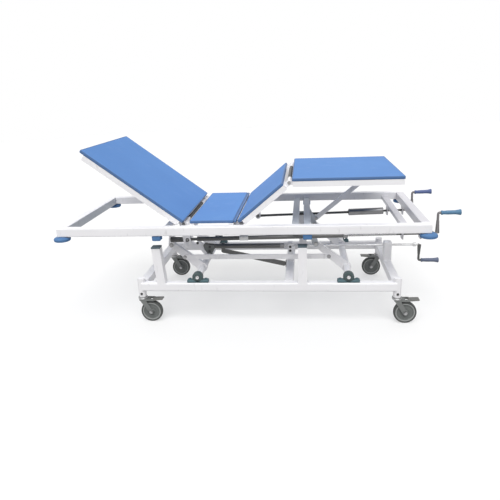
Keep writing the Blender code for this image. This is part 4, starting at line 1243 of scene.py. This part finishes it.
@dataclass
class Base(Assembly):
    """The base frame with its post caps, bearing blocks and push tube guide."""

    post_half: float = 0.025
    level_band: float = 0.0006
    cap_proud: float = 0.0014
    cap_deep: float = 0.0055
    cap_rise: float = 0.0030
    cap_edge: float = 0.0020
    block_foot: float = 0.018
    block_edge: float = 0.0045
    block_bolt_x: float = 0.0475
    block_bolt: Bolt = Bolt((0.0085, 0.0044), (0.0115, 0.0014), TEAL_CAST)
    housing_edge: Profile = ((0.86, 0.0), (0.97, 0.002), (1.0, 0.006))
    web_reach: Pair = (1.28, 0.72)
    web_drop: float = 0.42
    web_inset: float = 0.003
    web_sunk: float = 0.001
    web_top: Profile = ((0.0, 0.006), (0.005, -0.002))
    race_outer: float = 0.0132
    race_inner: float = 0.0104
    race_sunk: float = 0.001
    post_bead: float = 0.022
    bead_inset: float = 0.003
    guide_long: float = 0.030
    guide_inner: float = 0.0180
    guide_wall: float = 0.0045
    guide_clear: float = 0.0200
    guide_sunk: float = 0.0005
    guide_edge: float = 0.0012
    guide_drops: Pair = (0.022, 0.048)
    guide_bolt: Bolt = Bolt((0.0062, 0.0042), (0.0085, 0.0012), BLACK_STEEL)

    def coat(self) -> None:
        """Paints the base's CAD nodes."""
        dress(WHITE_COAT, "near_base_rail", "far_base_rail", "head_base_bar", "mid_base_bar", "foot_base_bar")
        dress(GREY_STEEL, "push_tube_stay")

    def post_tops(self) -> List[Vector]:
        """Finds the tops of the posts from the points at their height.

        Returns:
            Middle of each of the four tops.
        """
        tops = []
        for name in ("near_base_rail", "far_base_rail"):
            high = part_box(name)[1].z
            points = [point for point in node_points(name) if point.z > high - self.level_band]
            middle = sum(point.x for point in points) / len(points)
            for group in ([p for p in points if p.x < middle], [p for p in points if p.x >= middle]):
                xs, ys = [p.x for p in group], [p.y for p in group]
                tops.append(Vector(((min(xs) + max(xs)) / 2, (min(ys) + max(ys)) / 2, high)))
        return tops

    def post_foot(self, top: Vector, rail_top: float) -> Pair:
        """Where a post meets its rail, read from the points at that height.

        Args:
            top: Middle of the post's top.
            rail_top: Height of the rail.

        Returns:
            Lowest and highest X of the post's foot.
        """
        node = "near_base_rail" if top.y < 0.0 else "far_base_rail"
        found = [
            point.x for point in node_points(node)
            if abs(point.z - rail_top) < self.level_band and abs(point.x - top.x) < 2.0 * self.post_half]
        if not found:
            return top.x - self.post_half, top.x + self.post_half
        return min(found), max(found)

    def caps(self) -> None:
        """Push-on caps over the posts."""
        shape = bmesh.new()
        reach = self.post_half + self.cap_proud
        for top in self.post_tops():
            low = (top.x - reach, top.y - reach, top.z - self.cap_deep)
            high = (top.x + reach, top.y + reach, top.z + self.cap_rise)
            rounded_block(shape, low, high, self.cap_edge)
        deliver(new_object("post_caps", shape, TEAL_CAP), "base", Slot.CAST)

    def blocks(self) -> None:
        """Bearing blocks: a rounded casting, a bearing ring and two bolts each."""
        bolts = []
        for corner in CORNERS:
            name = corner + "_pillow_block"
            low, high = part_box(name)
            shaft = pivot("hi_lo" if corner.endswith("head") else "foot_lift_turn")
            middle_y, half_y = (low.y + high.y) / 2, (high.y - low.y) / 2
            foot, housing = low.z + self.block_foot, high.z - shaft.z
            axis = Axis.Y.at((shaft.x, middle_y, shaft.z))
            shape = bmesh.new()
            rounded_block(shape, low, (high.x, high.y, foot), self.block_edge)
            outer = mirrored([(housing * share, half_y - back) for share, back in self.housing_edge])
            bore = [(self.race_outer, -half_y), (self.race_outer, half_y)]
            spun(shape, outer + bore, axis, 56, 2, closed=True)
            rise = shaft.z - housing * self.web_drop
            for side in SIDES:
                toe_x, neck_x = (shaft.x + side * housing * reach for reach in self.web_reach)
                web = [(toe_x, foot - self.web_sunk), (neck_x, foot - self.web_sunk)]
                web += [(neck_x + side * out, rise + up) for out, up in self.web_top]
                plate(shape, web, low.y + self.web_inset, high.y - self.web_inset)
                bolts.append((Vector((shaft.x + side * self.block_bolt_x, middle_y, foot)), UP))
            face = half_y - self.race_sunk
            race = [(self.race_outer, face), (self.race_outer, -face),
                    (self.race_inner, -face), (self.race_inner, face)]
            spun(shape, race, axis, 48, 1, closed=True)
            piece = new_object(name + "_casting", shape, TEAL_CAST, BLACK_STEEL, DARK_CAST)
            deliver(piece, "base", Slot.CAST, name)
        self.shop.fasten("block_bolts", "base", bolts, self.block_bolt)

    def beads(self) -> None:
        """Weld beads round the feet of the posts and at the ends of the base bars."""
        lines: List[Line] = []
        inset, reach = self.bead_inset, self.post_bead
        rail_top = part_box("mid_base_bar")[1].z
        for top in self.post_tops():
            for x in self.post_foot(top, rail_top):
                lines.append((Vector((x, top.y - reach, rail_top)), Vector((x, top.y + reach, rail_top))))
        for name in ("head_base_bar", "mid_base_bar", "foot_base_bar"):
            low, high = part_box(name)
            for y in (low.y, high.y):
                lines.append((Vector((low.x + inset, y, rail_top)), Vector((high.x - inset, y, rail_top))))
                for x in (low.x, high.x):
                    lines.append((Vector((x, y, low.z + inset)), Vector((x, y, rail_top - inset))))
        self.shop.weld("base_welds", "base", lines)

    def guide(self) -> None:
        """Bridge over the height push tube, which stands on the middle bar."""
        low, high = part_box("mid_base_bar")
        start = (low.x + high.x - self.guide_long) / 2
        end = start + self.guide_long
        inner, outer = self.guide_inner, self.guide_inner + self.guide_wall
        under = pivot("lift_push_slide").z + self.guide_clear
        top = under + self.guide_wall
        shape = bmesh.new()
        for side in SIDES:
            near, far = sorted((side * inner, side * outer))
            rounded_block(shape, (start, near, high.z - self.guide_sunk), (end, far, top), self.guide_edge)
        rounded_block(shape, (start, -outer, under), (end, outer, top), self.guide_edge)
        deliver(new_object("push_tube_guide", shape, WHITE_COAT), "base", Slot.FRAME)
        spots = [
            side_spot((start + end) / 2, side * outer, under - drop, side)
            for side in SIDES for drop in self.guide_drops]
        self.shop.fasten("guide_bolts", "base", spots, self.guide_bolt)

    def build(self) -> None:
        """Builds and dresses the base."""
        self.coat()
        self.caps()
        self.blocks()
        self.beads()
        self.guide()


@dataclass
class Lift(Assembly):
    """The two lift shafts and their tie bar."""

    end_cap: Pair = (0.0096, 0.0035)
    end_sunk: float = 0.001
    pin_proud: float = 0.0015
    pin: Bolt = Bolt((0.0085, 0.0040), (0.0120, 0.0012))
    cheek_y: Pair = (0.0165, 0.0205)
    cheek: Profile = (
        (-0.010, 0.010), (0.018, 0.010), (0.038, 0.046), (0.041, 0.058), (0.036, 0.074), (-0.022, 0.080),
        (-0.028, 0.066))
    cheek_bolts: Profile = ((0.010, 0.065), (0.006, 0.036))
    brace_y: Pair = (0.0203, 0.0253)
    brace: Profile = ((-0.0804, 0.0945), (-0.0636, 0.1055), (-0.0036, 0.0135), (-0.0204, 0.0025))
    brace_bolts: Profile = ((-0.0680, 0.0930),)
    lever_bolt: Bolt = Bolt((0.0060, 0.0040), (0.0085, 0.0012), BLACK_STEEL)

    def cheeks(self) -> None:
        """Side plates and braces of the head shaft's drive lever."""
        shaft = pivot("hi_lo")
        shape = bmesh.new()
        spots = []
        for side in SIDES:
            for index, (outline, walls, bolts) in enumerate((
                (self.cheek, self.cheek_y, self.cheek_bolts), (self.brace, self.brace_y, self.brace_bolts),
            )):
                low, high = sorted(side * wall for wall in walls)
                plate(shape, [(shaft.x + x, shaft.z + z) for x, z in outline], low, high, index)
                spots += [side_spot(shaft.x + x, side * walls[1], shaft.z + z, side) for x, z in bolts]
        deliver(new_object("lever_cheeks", shape, FORK_STEEL, WHITE_COAT), "head_lift", Slot.DRIVE)
        self.shop.fasten("lever_bolts", "head_lift", spots, self.lever_bolt)

    def build(self) -> None:
        """Dresses the shafts and adds the bright journal ends and pin clips."""
        dress(LEVER_COAT, "head_lift_shaft")
        dress(WHITE_COAT, "foot_lift_shaft", "tie_bar")
        tie = pivot("tie_level")
        near_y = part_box("tie_bar")[0].y
        radius, proud = self.end_cap
        for body, turning in (("head_lift", "hi_lo"), ("foot_lift", "foot_lift_turn")):
            shaft = pivot(turning)
            shape = bmesh.new()
            for side, corner in zip(SIDES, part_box(body + "_shaft")):
                spun(shape, [
                    (0.0, side * proud), (radius * 0.84, side * proud), (radius * 0.98, side * proud * 0.75),
                    (radius, 0.0), (radius, -side * self.end_sunk), (0.0, -side * self.end_sunk),
                ], Axis.Y.at((shaft.x, corner.y, shaft.z)), 32)
            deliver(new_object(body + "_journal_ends", shape, BRIGHT_STEEL), body, Slot.CRANK)
            pin_x = tie.x + shaft.x - pivot("hi_lo").x
            spot = side_spot(pin_x, near_y - self.pin_proud, tie.z, -1.0)
            self.shop.fasten(body + "_tie_pin", body, [spot], self.pin)
        self.cheeks()


@dataclass
class Drive(Assembly):
    """One screw drive: push tube, threaded crank and grip.

    The rings are coupling rings, by their share of the way from the cross pin to the tube's open end. The
    tail is a stub behind the cross pin: where it starts, where it ends, and its radius.
    """

    name: str
    tube_radius: float
    bore_depth: float
    screw_length: float
    crank_finish: Finish
    grip_finish: Finish
    rings: Tuple[float, ...] = ()
    tail: Optional[Triple] = None
    tube_finish: Finish = BLACK_STEEL
    rod_finish: Finish = GREY_STEEL
    rod: float = 0.0070
    bend: float = 0.0088
    web_half: float = 0.0110
    web_share: float = 0.62
    web_side: float = 0.005
    collar: float = 0.0125
    collar_half: float = 0.009
    collar_back: float = 0.030
    collar_edge: Pair = (0.0010, 0.0012)
    thread_start: float = 0.002
    thread_pitch: float = 0.004
    grip_clear: float = 0.0003
    grip_foot: Profile = ((0.0108, 0.0), (0.0124, 0.0020), (0.0124, 0.0090), (0.0108, 0.012))
    grip_waist: float = 0.0104
    grip_swell: float = 0.0016
    swell_rate: float = 1.25
    grip_steps: int = 12
    grip_head: float = 0.010
    grip_end: float = 0.0165
    flare_from: float = 0.45
    flare_share: float = 0.93
    grip_mouth: Profile = ((1.0, 0.0072), (1.0, 0.0036), (0.93, 0.0008), (0.80, 0.0))
    mouth_edge: float = 0.0015
    bore: float = 0.0092
    tube_slack: float = 0.0004
    lip_proud: float = 0.0022
    lip_most: float = 0.0160
    lip_long: float = 0.025
    lip_edge: Pair = (0.001, 0.001)
    lip_step: float = 0.0256
    shoulder: Pair = (0.058, 0.053)
    rod_neck: float = 0.0080
    neck_end: float = 0.0365
    ring_half: float = 0.0260
    ring_proud: float = 0.0024
    ring_wall: float = 0.0030
    ring_edge: Pair = (0.0008, 0.001)
    eye: float = 0.0130
    eye_half: float = 0.0060
    eye_edge: Pair = (0.0008, 0.0008)
    neck: Triple = (0.044, 0.0112, 0.0150)
    neck_ahead: float = 0.026
    pin_radius: float = 0.0060
    pin_half: float = 0.0128
    pin_edge: Pair = (0.0010, 0.0008)
    tail_edge: Pair = (0.002, 0.002)
    tail_lap: float = 0.004
    tail_neck: float = 1.84

    def frame_matrix(self) -> Matrix:
        """Frame at the crank's bearing whose X axis runs out along the drive."""
        origin, axis = joint(self.name + "_crank_turn")
        return Matrix.Translation(origin) @ Matrix.Rotation(-math.atan2(axis.z, axis.x), 4, "Y")

    def build_crank(self) -> None:
        """Bent crank rod with its web, collar and thread."""
        place = self.frame_matrix()
        node = self.name + "_crank"
        low, high = local_box(node, place)
        grip = place.inverted() @ pivot(self.name + "_grip_spin")
        bends = ((low.x, 0.0), (grip.x, 0.0), (grip.x, grip.z), (high.x, grip.z))
        corners = [place @ Vector((x, 0.0, z)) for x, z in bends]
        shape = bmesh.new()
        swept(shape, bent_route(corners, self.bend), Vector((0.0, 1.0, 0.0)), self.rod, 28)
        for face in shape.faces:
            along = (place.inverted() @ face.calc_center_median()).x
            face.material_index = 1 if along > grip.x - self.bend else 0
        tip = grip.z * self.web_share
        reach = ((-self.web_half, 0.0), (self.web_half, 0.0), (self.rod, tip), (-self.rod, tip))
        web = [place @ Vector((grip.x + x, 0.0, z)) for x, z in reach]
        plate(shape, [(p.x, p.z) for p in web], web[0].y - self.web_side, web[0].y + self.web_side, 2)
        middle, half = grip.x - self.collar_back, self.collar_half
        collar = turned_bar(self.collar, middle + half, middle - half, self.collar_edge, self.rod * 0.9)
        spun(shape, collar, place @ Axis.X.matrix(), 36, closed=True)
        piece = new_object(node + "_rod", shape, self.rod_finish, self.crank_finish, CRANK_STEEL)
        deliver(piece, node, Slot.CRANK, node)
        aim = (place.to_3x3() @ Vector((1.0, 0.0, 0.0))).normalized()
        thread = self.shop.threads.wound(
            self.name + "_screw_thread", (corners[0] + aim * self.thread_start, aim), self.screw_length,
            self.rod, self.thread_pitch, BRIGHT_STEEL)
        deliver(thread, node, Slot.CRANK)

    def build_grip(self) -> None:
        """Flared grip that turns on the crank's end."""
        place = self.frame_matrix()
        node = self.name + "_grip"
        low, high = local_box(node, place)
        height = (place.inverted() @ pivot(node + "_spin")).z
        spin = place @ Axis.X.at((0.0, 0.0, height))
        start, end, flare, foot = low.x, high.x, self.grip_end, self.grip_foot[-1][1]
        bore, edge = self.rod + self.grip_clear, self.mouth_edge
        body = [(bore, start), *((radius, start + ahead) for radius, ahead in self.grip_foot)]
        rise = end - start - foot - self.grip_head
        for step in range(1, self.grip_steps + 1):
            share = step / self.grip_steps
            swell = math.sin(math.pi * min(share * self.swell_rate, 1.0))
            waist = self.grip_waist + self.grip_swell * swell
            opened = max(0.0, share - self.flare_from) / (1.0 - self.flare_from)
            radius = waist + (flare * self.flare_share - waist) * opened ** 2
            body.append((radius, start + foot + rise * share))
        body += [(flare * share, end - back) for share, back in self.grip_mouth]
        body += [(bore + edge, end), (bore, end - edge)]
        shape = bmesh.new()
        spun(shape, body, spin, 48, closed=True)
        deliver(new_object(node + "_handle", shape, self.grip_finish), node, Slot.GRIP, node)

    def add_neck(self, shape: BMesh, place: Matrix, size: Triple, middle: float) -> None:
        """Adds a flat neck on the drive's axis.

        Args:
            shape: The mesh that is added to.
            place: The drive's frame.
            size: Length, width and height of the neck.
            middle: Where its middle is, along the drive.
        """
        neck = block(size, (middle, 0.0, 0.0))
        bmesh.ops.transform(neck, matrix=place, verts=neck.verts)
        join_into(shape, neck)

    def build_tube(self) -> None:
        """Push tube with its eye block, cross pin, nut collar, coupling rings and tail."""
        place = self.frame_matrix()
        node = self.name + "_push_tube"
        low, high = local_box(node, place)
        spin = place @ Axis.X.matrix()
        pin, end, floor = low.x + self.eye, high.x, high.x - self.bore_depth
        runs = self.tube_profile(pin, end)
        first, last = runs[0][0][0], runs[-1][0][-1]
        shape = bmesh.new()
        for points, index in runs:
            spun(shape, points, spin, 40, index)
        spun(shape, [last, (0.0, last[1])], spin, 40)
        spun(shape, [first, (self.bore, end), (self.bore, floor), (0.0, floor)], spin, 40)
        for share in self.rings:
            middle, ring = pin + (end - pin) * share, self.tube_radius + self.ring_proud
            coupling = turned_bar(
                ring, middle + self.ring_half, middle - self.ring_half, self.ring_edge, ring - self.ring_wall)
            spun(shape, coupling, spin, 40, 3, closed=True)
        cross = place @ Axis.Y.at((pin, 0.0, 0.0))
        spun(shape, turned_bar(self.eye, self.eye_half, -self.eye_half, self.eye_edge), cross, 36)
        self.add_neck(shape, place, self.neck, pin + self.neck_ahead)
        spun(shape, turned_bar(self.pin_radius, self.pin_half, -self.pin_half, self.pin_edge), cross, 28, 1)
        if self.tail:
            tail_start, tail_end, radius = self.tail
            long = tail_start + self.tail_lap
            self.add_neck(shape, place, (long, self.neck[1], radius * self.tail_neck), pin - long / 2)
            spun(shape, turned_bar(radius, pin - tail_start, pin - tail_end, self.tail_edge), spin, 40)
        piece = new_object(node + "_body", shape, self.tube_finish, NUT_STEEL, GREY_STEEL, ZINC_STEEL)
        deliver(piece, self.name + "_push", Slot.DRIVE, node)

    def tube_profile(self, pin: float, end: float) -> List[Tuple[Profile, int]]:
        """Outer profile of the push tube, from its open end to its neck.

        Args:
            pin: Where the cross pin is, along the drive.
            end: Where the tube ends.

        Returns:
            Runs of (radius, height) points, each with its material index.
        """
        body, neck = self.tube_radius - self.tube_slack, self.rod_neck
        lip = min(self.tube_radius + self.lip_proud, self.lip_most)
        collar = turned_bar(lip, end, end - self.lip_long, self.lip_edge)[1:-1]
        tube = [(body, pin + self.shoulder[0]), (neck, pin + self.shoulder[1]), (neck, pin + self.neck_end)]
        open_end = [collar[-1], (body, end - self.lip_step)]
        if not self.rings:
            return [(collar, 1), (open_end + tube, 0)]
        split = (body, pin + (end - pin) * self.rings[0])
        return [(collar, 1), (open_end + [split], 2), ([split] + tube, 0)]

    def build(self) -> None:
        """Builds the drive."""
        self.build_tube()
        self.build_crank()
        self.build_grip()


@dataclass
class KneeDrive(Drive):
    """The knee drive, whose push tube is a thin rod with a thick nut tube."""

    nut_length: float = 0.2295
    nut_taper: float = 0.004

    def tube_profile(self, pin: float, end: float) -> List[Tuple[Profile, int]]:
        """Outer profile: thick bright nut tube, then a thin dark rod to the neck.

        Args:
            pin: Where the cross pin is, along the drive.
            end: Where the tube ends.

        Returns:
            Runs of (radius, height) points, each with its material index.
        """
        nut = end - self.nut_length
        tube = turned_bar(self.tube_radius, end, nut, self.lip_edge)[1:-1]
        thin = [tube[-1], (self.rod_neck, nut - self.nut_taper), (self.rod_neck, pin + self.neck_end)]
        return [(tube, 1), (thin, 0)]


@dataclass
class Castor(Assembly):
    """A swivel castor with its wheel; the tyre and the rim's band are in shares of radius and rim."""

    name: str
    rim: float = 0.0160
    tyre: Profile = (
        (0.862, 0.84), (0.870, 0.96), (0.890, 1.0), (0.945, 1.0), (0.974, 0.90), (0.992, 0.66), (1.0, 0.34))
    tyre_seat: Pair = (0.845, 0.6)
    boss: Profile = ((0.0063, 0.0), (0.0135, 0.0), (0.0152, 0.0016))
    disc: Profile = (
        (0.0165, 0.72), (0.0230, 0.66), (0.0240, 0.76), (0.0262, 0.76), (0.0272, 0.64), (0.0440, 0.60),
        (0.0462, 0.74))
    disc_rim: Pair = (0.860, 0.78)
    band: Profile = (
        (0.0478, 0.70), (0.0484, 0.86), (0.0500, 0.91), (0.0534, 0.91), (0.0550, 0.86), (0.0556, 0.70))
    ball_race: Profile = (
        (0.0245, -0.0012), (0.0270, -0.0022), (0.0282, -0.0048), (0.0270, -0.0072), (0.0282, -0.0094),
        (0.0278, -0.0124), (0.0255, -0.0136))
    axle_bolt: Bolt = Bolt((0.0078, 0.0050), (0.0105, 0.0014))
    screw_height: float = 0.022
    screw_seat: float = 0.0219
    set_screw: Bolt = Bolt((0.0060, 0.0040), (0.0075, 0.0008), BLACK_STEEL)

    def build_wheel(self) -> None:
        """Tyre and hub with the stepped rings of a moulded wheel."""
        node = self.name + "_wheel"
        low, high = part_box(node)
        radius, hub, rim = (high.z - low.z) / 2, (high.y - low.y) / 2, self.rim
        spin = Axis.Y.at((low + high) / 2)
        shape = bmesh.new()
        tyre = mirrored([(radius * reach, rim * out) for reach, out in self.tyre])
        seat, half = radius * self.tyre_seat[0], rim * self.tyre_seat[1]
        spun(shape, tyre + [(seat, -half), (seat, half)], spin, 72, closed=True)
        for side in reversed(SIDES):
            spun(shape, [(reach, side * rim * out) for reach, out in self.band], spin, 64, 2, closed=True)
        face = [(reach, hub - back) for reach, back in self.boss]
        face += [(reach, rim * out) for reach, out in self.disc]
        face.append((radius * self.disc_rim[0], rim * self.disc_rim[1]))
        spun(shape, mirrored(face), spin, 64, 1, closed=True)
        piece = new_object(node + "_tyre_and_hub", shape, WHEEL_TREAD, WHEEL_HUB, WHEEL_RIM)
        deliver(piece, node, Slot.WHEEL, node)

    def build_fork(self) -> None:
        """Plating on the fork, its ball race, its axle bolt and the screw that sets its stem."""
        node, body = self.name + "_castor_fork", self.name + "_castor"
        dress(FORK_STEEL, node)
        dress(PEDAL_STEEL, self.name + "_brake_pedal")
        stem, axle = pivot(self.name + "_swivel"), pivot(self.name + "_roll")
        shape = bmesh.new()
        spun(shape, self.ball_race, Axis.Z.at(stem), 56, closed=True)
        deliver(new_object(self.name + "_ball_race", shape, ZINC_STEEL), body, Slot.CASTOR)
        low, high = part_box(node)
        reach = (high.y - low.y) / 2
        bolts = [side_spot(axle.x, stem.y + side * reach, axle.z, side) for side in SIDES]
        self.shop.fasten(self.name + "_axle_bolt", body, bolts, self.axle_bolt)
        out = math.copysign(1.0, stem.y)
        screw = side_spot(stem.x, stem.y + out * self.screw_seat, stem.z + self.screw_height, out)
        self.shop.fasten(self.name + "_set_screw", "base", [screw], self.set_screw)

    def build(self) -> None:
        """Builds the castor."""
        self.build_wheel()
        self.build_fork()


@dataclass
class Studio:
    """Camera, floor and lights; the camera is the one fitted to the photograph."""

    focal: float = 36.61
    sensor: float = 36.0
    sight: float = 60.0
    from_head: float = 1.4249
    from_middle: float = -3.1356
    height: float = 1.3423
    yaw: float = 0.1135
    pitch: float = -0.3137
    roll: float = -0.0424
    sky_front: float = 0.42
    sky_back: float = 0.96
    sky_below: float = 0.48
    key_strength: float = 2.75
    key_spread: float = 50.0
    key_way: Triple = (0.0, 0.56, -0.82)
    floor_half: float = 30.0
    floor_glow: float = 0.50
    floor_tone: float = 0.40
    dome: float = 14.0

    def camera(self) -> None:
        """Places the camera."""
        head_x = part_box("near_rail")[0].x
        right = Vector((math.cos(self.yaw), math.sin(self.yaw), 0.0))
        level = Vector((-math.sin(self.yaw), math.cos(self.yaw), 0.0))
        ahead = level * math.cos(self.pitch) + UP * math.sin(self.pitch)
        above = UP * math.cos(self.pitch) - level * math.sin(self.pitch)
        side = right * math.cos(self.roll) + above * math.sin(self.roll)
        top = above * math.cos(self.roll) - right * math.sin(self.roll)
        data = bpy.data.cameras.new("photo_camera")
        data.sensor_fit = "HORIZONTAL"
        data.sensor_width = self.sensor
        data.lens = self.focal
        data.clip_end = self.sight
        place = Matrix((side, top, -ahead)).transposed().to_4x4()
        place.translation = (head_x + self.from_head, self.from_middle, self.height)
        camera = linked("photo_camera", data)
        camera.matrix_world = place
        bpy.context.scene.camera = camera

    def floor(self) -> None:
        """Lays a plain pale floor that glows, so that shadows on it stay light."""
        shape = bmesh.new()
        bmesh.ops.create_grid(shape, x_segments=1, y_segments=1, size=self.floor_half)
        tone = (self.floor_tone,) * 3
        ground = new_object("floor", shape, GlowFinish("pale_floor", tone, 0.9, tone, glow=self.floor_glow))
        ground.visible_diffuse = False

    def backdrop(self) -> None:
        """Hangs a white dome that is only seen: it neither lights nor shades the bed."""
        shape = bmesh.new()
        bmesh.ops.create_uvsphere(shape, u_segments=64, v_segments=32, radius=self.dome)
        lower = [vert for vert in shape.verts if vert.co.z < -0.01]
        bmesh.ops.delete(shape, geom=lower, context="VERTS")
        black = (0.0, 0.0, 0.0)
        wall = new_object("backdrop", shape, GlowFinish("white_backdrop", black, 1.0, black, 0.0))
        wall.visible_diffuse = wall.visible_glossy = wall.visible_transmission = wall.visible_shadow = False

    def sky(self) -> None:
        """Sky that is brighter behind the bed than in front, with a dimmer return of light from below."""
        sky = SkyTree("studio")
        above = sky.way(Axis.Y).over(-0.3, 0.6) * (self.sky_back - self.sky_front) + self.sky_front
        below = sky.way(Axis.Z).over(-0.08, -0.25)
        sky.put("Strength", above * (1.0 - below) + below * self.sky_below)
        sky.put("Color", (1.0, 1.0, 1.0, 1.0))

    def key(self) -> None:
        """Adds one broad, soft light from the front."""
        data = bpy.data.lights.new("key_light", "SUN")
        data.energy = self.key_strength
        data.angle = math.radians(self.key_spread)
        lamp = linked("key_light", data)
        lamp.rotation_euler = Vector(self.key_way).to_track_quat("-Z", "Y").to_euler()

    def build(self) -> None:
        """Sets the studio up, with colours shown as they are."""
        bpy.context.scene.view_settings.view_transform = "Standard"
        self.camera()
        self.floor()
        self.backdrop()
        self.sky()
        self.key()


def main() -> None:
    """Builds the bed's looks, piece by piece."""
    logging.basicConfig(level=logging.INFO, format="%(name)s: %(message)s")
    Studio().build()
    shop = Shop()
    for assembly in (
        Platform(shop), Base(shop), Lift(shop),
        Drive(shop, "back", 0.0130, 0.278, 0.43, ARM_STEEL, TEAL_GRIP,
              rings=(0.36,), tail=(0.043, 0.104, 0.0158)),
        KneeDrive(shop, "knee", 0.0225, 0.218, 0.19, ARM_STEEL, INDIGO_GRIP),
        Drive(shop, "lift", 0.0160, 0.258, 0.30, CRANK_STEEL, NAVY_GRIP,
              tube_finish=GREY_STEEL, rod_finish=ROD_STEEL),
        *(Castor(shop, corner) for corner in CORNERS),
    ):
        assembly.build()


if __name__ == "__main__":
    main()
